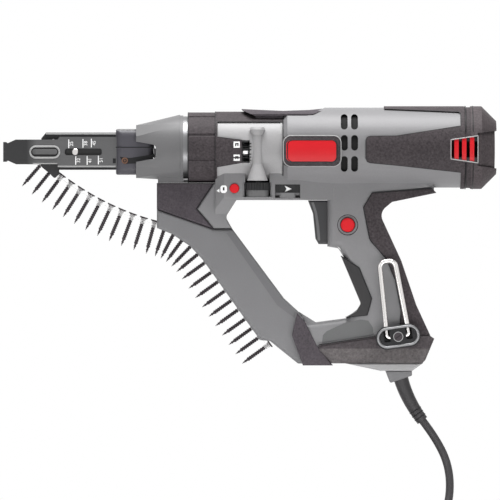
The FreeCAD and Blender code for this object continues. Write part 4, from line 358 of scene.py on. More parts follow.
NOSE = TwoTone(
    "nose_dark", (0.092, 0.092, 0.094), roughness=0.36, grain_mm=0.9, mottle=0.12, gloss=0.3,
    below=(0.024, 0.024, 0.025), limit_mm=-313.0, soft_mm=9.0, along="X",
)
SLIDER = TwoTone("slider", (0.010, 0.010, 0.011), roughness=0.4, below=(0.16, 0.16, 0.163), limit_mm=62.3)
# Depth wheel: near-black above the limit, painted as shade under the housing, grey below
WHEEL = replace(SLIDER, name="wheel", below=(0.13, 0.13, 0.132), limit_mm=64.6)
RED = Finish(
    "red_plastic", (0.54, 0.010, 0.016), roughness=0.42, grain_mm=1.2, relief_mm=0.006, mottle=0.06,
    gloss=0.25,
)
# Light grey for the pale rims of nose rib, badges and grilles, and for highlights painted along edges of gear
# case, nose, slide and hook screw
TRIM_AND_HIGHLIGHT = Finish(
    "pale_trim_and_highlight", (0.32, 0.32, 0.32), roughness=0.38, grain_mm=0.8, relief_mm=0.008, mottle=0.06
)
STEEL = Finish(
    "machined_steel", (0.46, 0.46, 0.47), Pattern.BRUSHED, 0.34, metallic=1.0, grain_mm=0.3, relief_mm=0.004
)
RING = replace(STEEL, name="ring_bright", colour=(0.20, 0.20, 0.205), metallic=0.9, grain_mm=0.4)
BRONZE = replace(STEEL, name="bronze", colour=(0.42, 0.28, 0.12), roughness=0.4, relief_mm=0.006)
ROLLER = Finish("roller_brown", (0.13, 0.065, 0.04), Pattern.BRUSHED, 0.4, 0.5, grain_mm=0.3, mottle=0.3)
CHROME = Finish(
    "chrome", (0.70, 0.68, 0.67), Pattern.POLISHED, 0.10, 1.0, grain_mm=2.0, relief_mm=0.002, mottle=0.03
)
STRIP = replace(
    CHROME, name="strip_white", colour=(0.88, 0.87, 0.87), roughness=0.35, metallic=0.0, relief_mm=0.003,
    alpha=0.2,
)
PRINT = replace(
    CHROME, name="white_print", colour=(0.86, 0.86, 0.86), roughness=0.5, metallic=0.0, grain_mm=0.8,
    mottle=0.04,
)
PHOSPHATE = Finish(
    "black_phosphate", (0.035, 0.028, 0.032), roughness=0.48, metallic=0.4, grain_mm=0.5, mottle=0.4
)
SHEETS = Finish(
    "lamination", (0.018, 0.018, 0.02), Pattern.STACKED, 0.5, 0.6, grain_mm=0.5, relief_mm=0.02, mottle=0.2
)
COPPER = Finish(
    "copper", (0.50, 0.20, 0.09), Pattern.WOUND, 0.38, metallic=1.0, grain_mm=0.6, relief_mm=0.05, mottle=0.2
)
CARBON = Finish("carbon", (0.02, 0.02, 0.021), roughness=0.6, grain_mm=0.4, mottle=0.2)
CORD = Finish("cord_black", (0.040, 0.038, 0.040), roughness=0.42, grain_mm=0.9, mottle=0.3, gloss=0.2)

DRESS: dict[Finish, tuple[str, ...]] = {
    CASING: ("housing_left", "housing_right"),
    MAGAZINE: ("magazine_left", "magazine_right", "cord_gland"),
    FRONT: ("front_housing",),
    GEAR_CASE: ("gear_housing", "bearing_plate", "base_plate"),
    RUBBER: ("gear_overmold", "barrel_overmold", "handle_overmold", "collar", "badge_frames"),
    SHOE: ("base_shoe",),
    CAP: ("rear_cap",),
    PANEL: ("magazine_panel", "magazine_band", "top_pad"),
    INSERT: ("grip_insert",),
    SLIDE: ("slide_body",),
    NOSE: ("nosepiece",),
    BLACK: ("hook_plate", "depth_pointer", "cooling_fan", "switch_module"),
    WHEEL: ("depth_wheel",),
    TRIGGER: ("trigger",),
    RED: ("badge_plates", "rear_vent_grilles", "lock_button", "release_button"),
    RING: ("retaining_ring",),
    STEEL: (
        "armature_shaft", "countershaft", "output_gear", "spindle", "driver_bit", "ball_bearings",
        "feed_sprocket", "return_spring", "housing_screws",
    ),
    CHROME: ("hook_wire", "length_pin"),
    PHOSPHATE: ("strip_screws", "hook_screw"),
    STRIP: ("collation_strip",),
    SHEETS: ("field_core", "armature_core"),
    COPPER: ("field_coils", "commutator"),
    BRONZE: ("bushes", "brush_holders", "plug_blades"),
    CARBON: ("brushes",),
    CORD: ("strain_relief", "cord", "cord_coil", "plug"),
    SLIDER: ("reverse_slider",),
}


class Bench:
    """Modelling steps on mesh objects, each made with Blender's operators and left at the origin."""

    @staticmethod
    def alone(piece: Piece) -> None:
        """Select one object and make it active."""
        bpy.ops.object.select_all(action="DESELECT")
        piece.select_set(True)
        bpy.context.view_layer.objects.active = piece

    @staticmethod
    def add(name: str, data: bpy.types.ID) -> Piece:
        """New object of a curve, lamp or camera, put in the scene."""
        piece = bpy.data.objects.new(name, data)
        bpy.context.scene.collection.objects.link(piece)
        return piece

    @staticmethod
    def trace(name: str, points: Sequence[Vector]) -> Piece:
        """Chain of edges through points, left in edit mode.

        Args:
            name: the object's name.
            points: where the chain goes.

        Returns:
            The new object.
        """
        bpy.ops.object.select_all(action="DESELECT")
        bpy.ops.mesh.primitive_plane_add(size=MM, location=points[0])
        piece = bpy.context.object
        piece.name = name
        bpy.ops.object.mode_set(mode="EDIT")
        bpy.ops.mesh.select_all(action="SELECT")
        bpy.ops.mesh.merge(type="CENTER")
        for here, there in zip(points, points[1:]):
            bpy.ops.mesh.extrude_region_move(TRANSFORM_OT_translate={"value": there - here})
        return piece

    @staticmethod
    def close(piece: Piece) -> Piece:
        """Leave edit mode with merged points, outward faces and the place in the mesh."""
        bpy.ops.mesh.select_all(action="SELECT")
        bpy.ops.mesh.remove_doubles(threshold=0.00001)
        bpy.ops.mesh.normals_make_consistent(inside=False)
        bpy.ops.object.mode_set(mode="OBJECT")
        bpy.ops.object.transform_apply(location=True, rotation=True, scale=True)
        return piece

    @classmethod
    def slab(cls, name: str, outline: Sequence[Vector], depth: Vector, edge_mm: float = 0.0) -> Piece:
        """Flat outline carried along a depth, with its edges rounded.

        Args:
            name: the object's name.
            outline: corners in order.
            depth: direction and thickness.
            edge_mm: width of the rounded edges.

        Returns:
            The new object.
        """
        piece = cls.trace(name, outline)
        bpy.ops.mesh.select_all(action="SELECT")
        bpy.ops.mesh.edge_face_add()
        bpy.ops.mesh.extrude_region_move(TRANSFORM_OT_translate={"value": depth})
        cls.close(piece)
        if edge_mm:
            cls.soften(piece, edge_mm)
        return piece

    @classmethod
    def lathe(cls, name: str, profile: Corners, centre: Vector, axis: Vector, steps: int = 24) -> Piece:
        """Solid of revolution.

        Args:
            name: the object's name.
            profile: (length, radius) pairs in millimetres along the axis.
            centre: point on the axis where the length is 0.
            axis: direction of the axis.
            steps: segments round the axis.

        Returns:
            The new object.
        """
        way = axis.normalized()
        side = way.orthogonal().normalized()
        points = [centre + way * (length * MM) + side * (radius * MM) for length, radius in profile]
        piece = cls.trace(name, points)
        bpy.ops.mesh.select_all(action="SELECT")
        bpy.ops.mesh.spin(steps=steps, angle=2 * math.pi, center=centre, axis=way)
        return cls.smooth(cls.close(piece))

    @classmethod
    def soften(cls, piece: Piece, width_mm: float, segments: int = 3) -> Piece:
        """Round the sharp edges of a piece."""
        cls.alone(piece)
        bevel = piece.modifiers.new("edges", "BEVEL")
        bevel.width = width_mm * MM
        bevel.segments = segments
        bevel.limit_method = "ANGLE"
        bpy.ops.object.modifier_apply(modifier=bevel.name)
        return cls.smooth(piece)

    @classmethod
    def smooth(cls, piece: Piece, degrees: float = 35.0) -> Piece:
        """Smooth shading with sharp edges past an angle."""
        cls.alone(piece)
        bpy.ops.object.shade_smooth_by_angle(angle=math.radians(degrees))
        return piece

    @classmethod
    def wire(
        cls,
        name: str,
        points: Sequence[Vector],
        radius_mm: float,
        closed: bool = False,
        sizes: Sequence[float] = (),
    ) -> Piece:
        """Round wire along points, as a mesh.

        Args:
            name: the object's name.
            points: the line.
            radius_mm: the wire's radius.
            closed: whether the ends meet.
            sizes: share of the radius at each point.

        Returns:
            The new object.
        """
        data = bpy.data.curves.new(name, "CURVE")
        data.dimensions = "3D"
        data.bevel_depth = radius_mm * MM
        data.bevel_resolution = 4
        data.use_fill_caps = not closed
        line = data.splines.new("POLY")
        line.points.add(len(points) - 1)
        for number, (spot, given) in enumerate(zip(line.points, points)):
            spot.co = (*given, 1.0)
            spot.radius = sizes[number] if sizes else 1.0
        line.use_cyclic_u = closed
        cls.alone(cls.add(name, data))
        bpy.ops.object.convert(target="MESH")
        return cls.smooth(bpy.context.object, 50.0)

    @classmethod
    def copies(cls, name: str, model: Piece, poses: Iterable[Matrix]) -> Piece:
        """Copies of a model at several places, joined into one piece.

        Args:
            name: the joined object's name.
            model: what is copied; it stays.
            poses: place of each copy.

        Returns:
            The joined object.
        """
        made = []
        for pose in poses:
            twin = model.copy()
            twin.data = model.data.copy()
            twin.data.transform(pose)
            bpy.context.scene.collection.objects.link(twin)
            made.append(twin)
        cls.alone(made[0])
        for twin in made:
            twin.select_set(True)
        bpy.ops.object.join()
        made[0].name = name
        return made[0]

    @staticmethod
    def discard(piece: Piece) -> None:
        """Remove a model that was only copied from."""
        bpy.data.objects.remove(piece)


def bent(first: Vector, middle: Vector, last: Vector, share: float) -> Vector:
    """Point at a share of the way along a curve with one bend."""
    return first * (1 - share) ** 2 + middle * (2 * share * (1 - share)) + last * share**2


def tube(start: float, end: float, inner: float, outer: float) -> Corners:
    """Closed profile of a tube, as (length, radius) pairs."""
    return [(start, inner), (start, outer), (end, outer), (end, inner), (start, inner)]


def oblong(
    x: float, z: float, half_length: float, half_height: float, y: float, tilt: float = 0.0
) -> list[Vector]:
    """Outline with round ends in a plane across Y, in millimetres.

    Args:
        x: middle along the tool.
        z: middle height.
        half_length: half of the whole length.
        half_height: radius of the ends.
        y: the plane.
        tilt: turn in degrees.

    Returns:
        Points in order.
    """
    straight = half_length - half_height
    level, climb = math.cos(math.radians(tilt)), math.sin(math.radians(tilt))
    points = []
    for number in range(24):
        angle = math.radians(7.5 + 15 * number)
        shift = straight if math.cos(angle) > 0 else -straight
        across, up = shift + half_height * math.cos(angle), half_height * math.sin(angle)
        points.append(at(x + across * level - up * climb, y, z + across * climb + up * level))
    return points


def dress(piece: Piece, finish: Finish, body: str = "housing") -> Piece:
    """Give a new piece its finish and the body that carries it.

    Args:
        piece: the new piece.
        finish: its finish.
        body: the CAD body.

    Returns:
        The piece.
    """
    piece.data.materials.clear()
    piece.data.materials.append(finish.material())
    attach(piece, body)
    log.info("%s rides on %s", piece.name, body)
    return piece


@dataclass
class Studio:
    """Camera, lamps, pale floor and white surroundings, in metres."""

    middle: Point = (-0.1122, 0.0, 0.0098)
    distance: float = 8.0
    view_width: float = 0.46
    floor_height: float = -0.262
    floor_size: float = 2.2
    floor_back: float = 0.05
    soft_light: float = 0.15
    # Name, place, width and height, watts
    lamps: Sequence[tuple[str, Point, tuple[float, float], float]] = (
        ("overhead", (-0.15, -0.20, 1.4), (1.6, 0.9), 48.0),
        ("front_left", (-1.1, -1.5, 0.5), (0.7, 0.9), 1.4),
        ("front_right", (0.9, -1.5, 0.3), (0.7, 0.9), 0.9),
        ("under", (-0.1, -0.38, -0.24), (1.2, 0.25), 3.4),
    )

    def camera(self) -> None:
        """Long-lens camera level with the tool, looking along +Y."""
        lens = bpy.data.cameras.new("camera")
        lens.lens = lens.sensor_width * self.distance / self.view_width
        lens.clip_end = 50.0
        eye = Bench.add("camera", lens)
        eye.location = (self.middle[0], -self.distance, self.middle[2])
        eye.rotation_euler = (math.pi / 2, 0.0, 0.0)
        bpy.context.scene.camera = eye

    def lamp(self, name: str, place: Point, size: tuple[float, float], watts: float) -> None:
        """Soft lamp that faces the tool.

        Args:
            name: the lamp's name.
            place: where it hangs.
            size: its width and height.
            watts: its power.
        """
        data = bpy.data.lights.new(name, "AREA")
        data.shape = "RECTANGLE"
        data.size, data.size_y = size
        data.energy = watts
        made = Bench.add(name, data)
        made.location = place
        toward = Vector(self.middle) - Vector(place)
        made.rotation_euler = toward.to_track_quat("-Z", "Y").to_euler()

    def seen_white(self, graph: Graph) -> Value:
        """1 for rays of the camera, off mirrors and through clear pieces, and 0 for the others."""
        rays = [
            graph.node("ShaderNodeLightPath", {}, {}, name)
            for name in ("Is Camera Ray", "Is Glossy Ray", "Is Transmission Ray")
        ]
        return rays[0].most(rays[1]).most(rays[2])

    def floor(self) -> None:
        """Pale floor under the coil, white to the camera with a faint shadow."""
        bpy.ops.object.select_all(action="DESELECT")
        place = (self.middle[0], self.floor_back, self.floor_height)
        bpy.ops.mesh.primitive_plane_add(size=self.floor_size, location=place)
        ground = bpy.context.object
        ground.name = "floor"
        made = bpy.data.materials.new("floor")
        made.use_nodes = True
        graph = Graph(made.node_tree)
        plain = graph.node("ShaderNodeBsdfDiffuse", {}, {"Color": (0.85, 0.85, 0.85, 1.0)}, "BSDF")
        white = graph.node("ShaderNodeEmission", {}, {"Color": WHITE, "Strength": 1.0}, "Emission")
        ground_place = graph.node("ShaderNodeTexCoord", {}, {}, "Object")
        away = graph.node("ShaderNodeVectorMath", {"operation": "LENGTH"}, {0: ground_place}, "Value")
        direct = self.seen_white(graph) * (away * 0.16 + 0.88)
        mixed = graph.node("ShaderNodeMixShader", {}, {0: direct, 1: plain, 2: white}, "Shader")
        graph.node("ShaderNodeOutputMaterial", {}, {"Surface": mixed})
        ground.data.materials.append(made)

    def world(self) -> None:
        """White surroundings that light the tool softly."""
        scene = bpy.context.scene
        scene.world = scene.world or bpy.data.worlds.new("surroundings")
        scene.world.use_nodes = True
        graph = Graph(scene.world.node_tree)
        soft, white = (
            graph.node("ShaderNodeBackground", {}, {"Color": WHITE, "Strength": strength}, "Background")
            for strength in (self.soft_light, 1.0)
        )
        direct = self.seen_white(graph)
        mixed = graph.node("ShaderNodeMixShader", {}, {0: direct, 1: soft, 2: white}, "Shader")
        graph.node("ShaderNodeOutputWorld", {}, {"Surface": mixed})
        scene.view_settings.view_transform = "Standard"

    def build(self) -> None:
        """Set the whole studio up."""
        self.camera()
        for name, place, size, watts in self.lamps:
            self.lamp(name, place, size, watts)
        self.floor()
        self.world()


@dataclass
class PowerCord:
    """Boot, cord with its flat coil, and the strap that ties it, in millimetres."""

    radius: float = 3.75
    # Coil of two layers, wound inward on the floor and outward on top
    coil_middle: Point = (-50.0, 0.0, -258.25)
    coil_radius: float = 60.0
    pitch: float = 8.3
    turns: int = 7
    points_per_turn: int = 12
    middle_turns: float = 0.15
    climb_turns: float = 0.5
    spread_power: float = 0.75
    # Boot with its grooves, each at a step along it
    boot: Sequence[Point] = ((25.6, 0.0, -104.1), (30.6, 0.0, -126.2), (46.5, 0.0, -147.1))
    boot_radii: tuple[float, float] = (6.9, 5.4)
    boot_steps: int = 40
    groove_steps: Sequence[tuple[str, int]] = (("upper", 31), ("middle", 34), ("lower", 37))
    groove_radius: float = 0.5
    # Run from the boot to the coil, and from the coil to the plug
    route: Sequence[Point] = (
        (46.5, 0.0, -147.1),
        (61.0, 0.0, -166.1),
        (72.0, 0.0, -193.1),
        (71.0, -11.0, -224.1),
        (58.0, -33.0, -248.25),
        (27.0, -52.0, -258.25),
        (-8.0, -60.0, -258.25),
        (-42.5, -60.0, -258.25),
    )
    tail: Sequence[float] = (-66.0, -82.0)
    # Strap: reach inward and outward of the coil's radius, gaps below and above the cord
    tie_reach: tuple[float, float] = (35.0, 4.6)
    tie_gap: tuple[float, float] = (0.1, 0.7)
    tie_corner: float = 3.0
    tie_width: float = 8.0
    tie_wall: float = 0.6

    def coil_points(self) -> list[Vector]:
        """Control points of the coil: inward on the floor, a climb, outward on top."""
        half = self.turns / 2
        soft = self.middle_turns
        inner = self.coil_radius - self.pitch * math.hypot(half, soft)
        outside = 1.0 / math.cos(math.pi / self.points_per_turn) ** self.spread_power
        points = []
        for number in range(1, self.turns * self.points_per_turn):
            turn = number / self.points_per_turn
            away = turn - half
            reach = (inner + self.pitch * math.hypot(away, soft)) * outside
            share = min(1.0, max(0.0, away / self.climb_turns + 0.5))
            climb = share * share * (3 - 2 * share)
            angle = -math.pi / 2 - 2 * math.pi * turn
            x, y, z = self.coil_middle
            over, along = reach * math.cos(angle), reach * math.sin(angle)
            points.append(at(x + over, y + along, z + self.pitch * climb))
        return points

    def line(self) -> list[Vector]:
        """Control points of the whole cord."""
        x, y, z = self.coil_middle
        start = at(x, y - self.coil_radius, z)
        end = at(x, y - self.coil_radius, z + self.pitch)
        rest = [at(tail_x, y - self.coil_radius, z + self.pitch) for tail_x in self.tail]
        return [at(*spot) for spot in self.route] + [start] + self.coil_points() + [end] + rest

    def cord(self, frame: dict) -> None:
        """Cord as one smooth spline from the boot to the plug.

        Args:
            frame: the loaded frame; not used.
        """
        data = bpy.data.curves.new("power_cord", "CURVE")
        data.dimensions = "3D"
        data.bevel_depth = self.radius * MM
        data.bevel_resolution = 5
        data.resolution_u = 8
        data.use_fill_caps = True
        points = self.line()
        spline = data.splines.new("NURBS")
        spline.points.add(len(points) - 1)
        for spot, given in zip(spline.points, points):
            spot.co = (*given, 1.0)
        spline.order_u = 3
        spline.use_endpoint_u = True
        piece = dress(Bench.add("power_cord", data), CORD)
        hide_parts("cord", "cord_coil")
        2 * self.radius * MM

    def boot_sleeve(self) -> None:
        """Tapered boot with three dark grooves near its end."""
        first, bend, last = (at(*spot) for spot in self.boot)
        points, sizes = [], []
        for number in range(self.boot_steps + 1):
            share = number / self.boot_steps
            points.append(bent(first, bend, last, share))
            sizes.append(1.0 + (self.boot_radii[1] / self.boot_radii[0] - 1.0) * share)
        piece = Bench.wire("cord_boot", points, self.boot_radii[0], sizes=sizes)
        dress(piece, CORD)
        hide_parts("strain_relief")
        for name, step in self.groove_steps:
            way = (points[step + 1] - points[step - 1]).normalized()
            across = way.cross(Vector((0, 1, 0)))
            reach = self.boot_radii[0] * sizes[step] * MM
            turns = [math.radians(15 * number) for number in range(24)]
            spokes = [across * math.cos(turn) + Vector((0, 1, 0)) * math.sin(turn) for turn in turns]
            ring = [points[step] + spoke * reach for spoke in spokes]
            dress(Bench.wire(f"boot_groove_{name}", ring, self.groove_radius, closed=True), BLACK)

    def tie(self) -> None:
        """Strap round the coil."""
        x, y, z = self.coil_middle
        low, high = self.coil_radius - self.tie_reach[0], self.coil_radius + self.tie_reach[1]
        bottom = z - self.radius + self.tie_gap[0]
        top = z + self.pitch + self.radius + self.tie_gap[1]
        corner = self.tie_corner
        outline = []
        for cy, cz, start in ((high, top, 0), (low, top, 90), (low, bottom, 180), (high, bottom, 270)):
            inward_y = -corner if cy == high else corner
            inward_z = -corner if cz == top else corner
            for step in range(4):
                angle = math.radians(start + 30 * step)
                side, up = inward_y + corner * math.cos(angle), inward_z + corner * math.sin(angle)
                outline.append(at(x - self.tie_width / 2, y + cy + side, cz + up))
        piece = Bench.trace("coil_tie", [*outline, outline[0]])
        bpy.ops.mesh.select_all(action="SELECT")
        bpy.ops.mesh.extrude_region_move(TRANSFORM_OT_translate={"value": at(self.tie_width, 0, 0)})
        Bench.close(piece)
        wall = piece.modifiers.new("wall", "SOLIDIFY")
        wall.thickness = self.tie_wall * MM
        wall.offset = 1.0
        bpy.ops.object.modifier_apply(modifier=wall.name)
        dress(Bench.smooth(piece), BLACK)

    def build(self, frame: dict) -> None:
        """Make every piece of the cord.

        Args:
            frame: the loaded frame.
        """
        self.cord(frame)
        self.boot_sleeve()
        self.tie()


@dataclass
class ScrewStrip:
    """Collated screws in the nose, in a slack run and in the magazine, in millimetres."""

    # Points of the line that the heads follow
    nose: Point = (-300.9, 0.0, 92.6)
    slack: Point = (-252.9, 0.0, 50.5)
    mouth: Point = (-194.6, 0.0, 36.0)
    arm_start: Point = (-150.6, 0.0, 4.1)
    arm_end: Point = (-91.9, 0.0, -78.1)
    # Spacing, screws that ride on the slide, and where the slack run ends
    pitch: float = 10.6
    in_nose: int = 2
    free_end: float = -197.8
    stroke: float = 54.0
    # One screw
    length: float = 32.0
    thread_start: float = 5.0
    tip_length: float = 6.0
    # Band between the collars, as depths below the heads
    web_depths: tuple[float, float] = (3.4, 4.2)
    web_half_width: float = 3.2

    def path(self) -> list[Vector]:
        """Close points along the line of the heads, in millimetres."""
        nose, slack, mouth, start, end = (
            Vector(spot) for spot in (self.nose, self.slack, self.mouth, self.arm_start, self.arm_end)
        )
        along, leave = (end - start).normalized(), (mouth - slack).normalized()
        offset = start - mouth
        spread = leave.z * along.x - leave.x * along.z
        bend = mouth + leave * ((offset.z * along.x - offset.x * along.z) / spread)
        steps = 60
        shares = [number / steps for number in range(steps)]
        free = [bent(nose, slack, mouth, share) for share in shares]
        turn = [bent(mouth, bend, start, share) for share in shares]
        straight = [start.lerp(end, share) for share in (*shares, 1.0)]
        return free + turn + straight

    def places(self, pitch: float) -> list[tuple[Vector, Vector]]:
        """Evenly spaced places along the path, with its direction.

        Args:
            pitch: the spacing in millimetres.

        Returns:
            Places and directions.
        """
        found = []
        travelled = due = 0.0
        path = self.path()
        for here, there in zip(path, path[1:]):
            run = (there - here).length
            way = (there - here).normalized()
            while due <= travelled + run:
                found.append((here + way * (due - travelled), way))
                due += pitch
            travelled += run
        return found

    def screw(self) -> Piece:
        """One bugle-head screw along +X from the origin, with a coarse thread."""
        profile = [(1.3, 0.0), (1.1, 0.7), (0.0, 1.9), (0.0, 3.7)]
        profile += [(0.25, 4.0), (0.9, 3.9), (1.5, 2.5), (3.2, 1.4)]
        crest, root, step = 1.95, 1.25, 2.1
        place = self.thread_start
        while place < self.length - self.tip_length:
            profile += [(place, root), (place + 0.35 * step, crest), (place + 0.5 * step, crest)]
            place += step
        profile += [(place, root)]
        for share in (0.35, 0.65, 0.9):
            here = place + (self.length - place) * share
            profile += [(here - 0.5, root * (1 - share)), (here, (crest - 0.1) * (1 - share) + 0.25)]
        profile.append((self.length, 0.0))
        return Bench.lathe("screw_model", profile, Vector(), Vector((1, 0, 0)), 10)

    def sleeve(self) -> Piece:
        """Plastic collar that holds one screw, along +X from the origin."""
        profile = [(1.4, 2.9), (1.4, 3.2), (2.4, 2.6), (6.8, 2.3), (6.8, 2.0), (2.4, 2.3)]
        return Bench.lathe("sleeve_model", [*profile, profile[0]], Vector(), Vector((1, 0, 0)), 12)

    def pose(self, spot: Vector, way: Vector) -> Matrix:
        """Place of a screw whose head is on the path and whose tip points down and forward."""
        down = Vector((way.z, 0.0, -way.x))
        turn = Vector((1, 0, 0)).rotation_difference(down).to_matrix().to_4x4()
        return Matrix.Translation(spot * MM) @ turn

    def web(self, name: str, run: Sequence[tuple[Vector, Vector]]) -> Piece:
        """Thin band that joins the collars of a run of screws.

        Args:
            name: the piece's name.
            run: close places along the path.

        Returns:
            The band.
        """
        falls = [(spot, Vector((way.z, 0, -way.x))) for spot, way in run]
        upper, lower = ([(spot + fall * depth) * MM for spot, fall in falls] for depth in self.web_depths)
        outline = [spot - at(0, self.web_half_width, 0) for spot in [*upper, *reversed(lower)]]
        return Bench.slab(name, outline, at(0, 2 * self.web_half_width, 0))

    def build(self) -> None:
        """Make the screws and the strip in three runs."""
        screw, sleeve = self.screw(), self.sleeve()
        heads = self.places(self.pitch)
        fine = self.places(self.pitch / 3)
        cut = self.in_nose
        loaded = next(number for number, (spot, _) in enumerate(heads) if spot.x > self.free_end)
        runs = {"nose": (0, cut), "slack": (cut, loaded), "loaded": (loaded, len(heads))}
        for name, (first, last) in runs.items():
            poses = [self.pose(spot, way) for spot, way in heads[first:last]]
            screws = Bench.copies(f"screws_{name}", screw, poses)
            collars = Bench.copies(f"collars_{name}", sleeve, poses)
            band = self.web(f"strip_{name}", fine[max(0, first * 3 - 1) : last * 3])
            body = "feed_slide" if name == "nose" else "housing"
            for piece, finish, node, slot in (
                (screws, PHOSPHATE, "strip_screws", "phosphate"),
                (collars, STRIP, "collation_strip", "strip_white"),
                (band, STRIP, "collation_strip", "strip_white"),
            ):
                dress(piece, finish, body)
                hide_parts(node)
                if name == "slack":
                    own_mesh(piece)
        Bench.discard(screw)
        Bench.discard(sleeve)


@dataclass(frozen=True)
class Side:
    """Left side of the tool: a flat at a distance, or a round surface about an axis along X.

    Args:
        reach: distance of the flat from the middle plane, or the radius.
        height: height of the axis, or None for a flat.
    """

    reach: float
    height: float | None = None

    def spot(self, x: float, z: float, lift: float = 0.0) -> Vector:
        """Point of the surface, in metres.

        Args:
            x: place along the tool in millimetres.
            z: height in millimetres.
            lift: distance outward from the surface.

        Returns:
            The point.
        """
        if self.height is None:
            return at(x, -self.reach - lift, z)
        rise = z - self.height
        return at(x, -math.sqrt(max(0.0, (self.reach + lift) ** 2 - rise**2)), z)

    def follow(self, corners: Corners, lift: float = 0.0) -> list[Vector]:
        """Line over the surface through corners, in steps of about two millimetres."""
        points = []
        for (x, z), (next_x, next_z) in zip(corners, corners[1:]):
            steps = max(1, round(math.hypot(next_x - x, next_z - z) / 2.0))
            for number in range(steps):
                share = number / steps
                points.append(self.spot(x + (next_x - x) * share, z + (next_z - z) * share, lift))
        points.append(self.spot(*corners[-1], lift))
        return points


MM_PER_PIXEL = 0.92
ORIGIN_PIXEL = (372.0, 260.7)
PRINT_LIFT = 0.12
PRINT_DEPTH = 0.08
MOTOR_AXIS = 104.0
GEAR_SIDE = Side(31.8, MOTOR_AXIS)
GEAR_RUBBER = Side(33.1, MOTOR_AXIS)
BARREL_RUBBER = Side(38.1, MOTOR_AXIS)
GRILLE_SIDE = Side(37.32, MOTOR_AXIS)
GRIP_SIDE = Side(16.2)
ELBOW_SIDE = Side(14.0)
BRIDGE_SIDE = Side(21.0)
BRIDGE_PRINT = Side(21.06)
RUBBER_EDGE = Side(17.2)
ARM_SIDE = Side(12.5)
POCKET_SIDE = Side(18.0)
SLIDER_SIDE = Side(20.6)
POINTER_SIDE = Side(31.2)
SIGN_SIDE = Side(33.16, MOTOR_AXIS)


def mirrored(points: Iterable[Vector]) -> list[Vector]:
    """The same points on the right side of the tool."""
    return [Vector((spot.x, -spot.y, spot.z)) for spot in points]


def both_sides(name: str, points: list[Vector], radius: float, finish: Finish, closed: bool = False) -> None:
    """Wire along a line of the left side, and its mirror image.

    Args:
        name: start of the two names.
        points: the line on the left side.
        radius: the wire's radius in millimetres.
        finish: the wire's finish.
        closed: whether the ends meet.
    """
    for hand, line in (("left", points), ("right", mirrored(points))):
        dress(Bench.wire(f"{name}_{hand}", line, radius, closed=closed), finish)


def from_picture(px: float, py: float) -> tuple[float, float]:
    """Place along the tool and height, in millimetres, of a point of the picture."""
    return (px - ORIGIN_PIXEL[0]) * MM_PER_PIXEL, (ORIGIN_PIXEL[1] - py) * MM_PER_PIXEL


def pane(left: float, top: float, right: float, low: float) -> Corners:
    """Corners of an upright rectangle."""
    return [(left, top), (right, top), (right, low), (left, low)]


def arch(left: float, top: float, right: float, low: float, wall: float) -> Corners:
    """Corners of an arch that is open below."""
    outer = [(left, top), (right, top), (right, low), (right - wall, low)]
    return outer + [(right - wall, top + wall), (left + wall, top + wall), (left + wall, low), (left, low)]


def flat(corners: Corners, y: float) -> list[Vector]:
    """Points of the picture on a plane across Y."""
    return [at(x, y, z) for x, z in (from_picture(px, py) for px, py in corners)]


def round_motor(x: float, radius: float, degrees: Iterable[float]) -> list[Vector]:
    """Points round the motor's axis, counted from the left side over the top."""
    turns = [math.radians(turn) for turn in degrees]
    return [at(x, -radius * math.cos(turn), MOTOR_AXIS + radius * math.sin(turn)) for turn in turns]


def decal(name: str, corners: Corners, side: Side, finish: Finish, body: str = "housing") -> Piece:
    """Thin print on the left side, from corners given as points of the picture.

    Args:
        name: the piece's name.
        corners: points of the picture.
        side: the surface.
        finish: the print's finish.
        body: what carries it.

    Returns:
        The print.
    """
    outline = [side.spot(*from_picture(px, py), PRINT_LIFT) for px, py in corners]
    return dress(Bench.slab(name, outline, at(0, PRINT_DEPTH, 0)), finish, body)


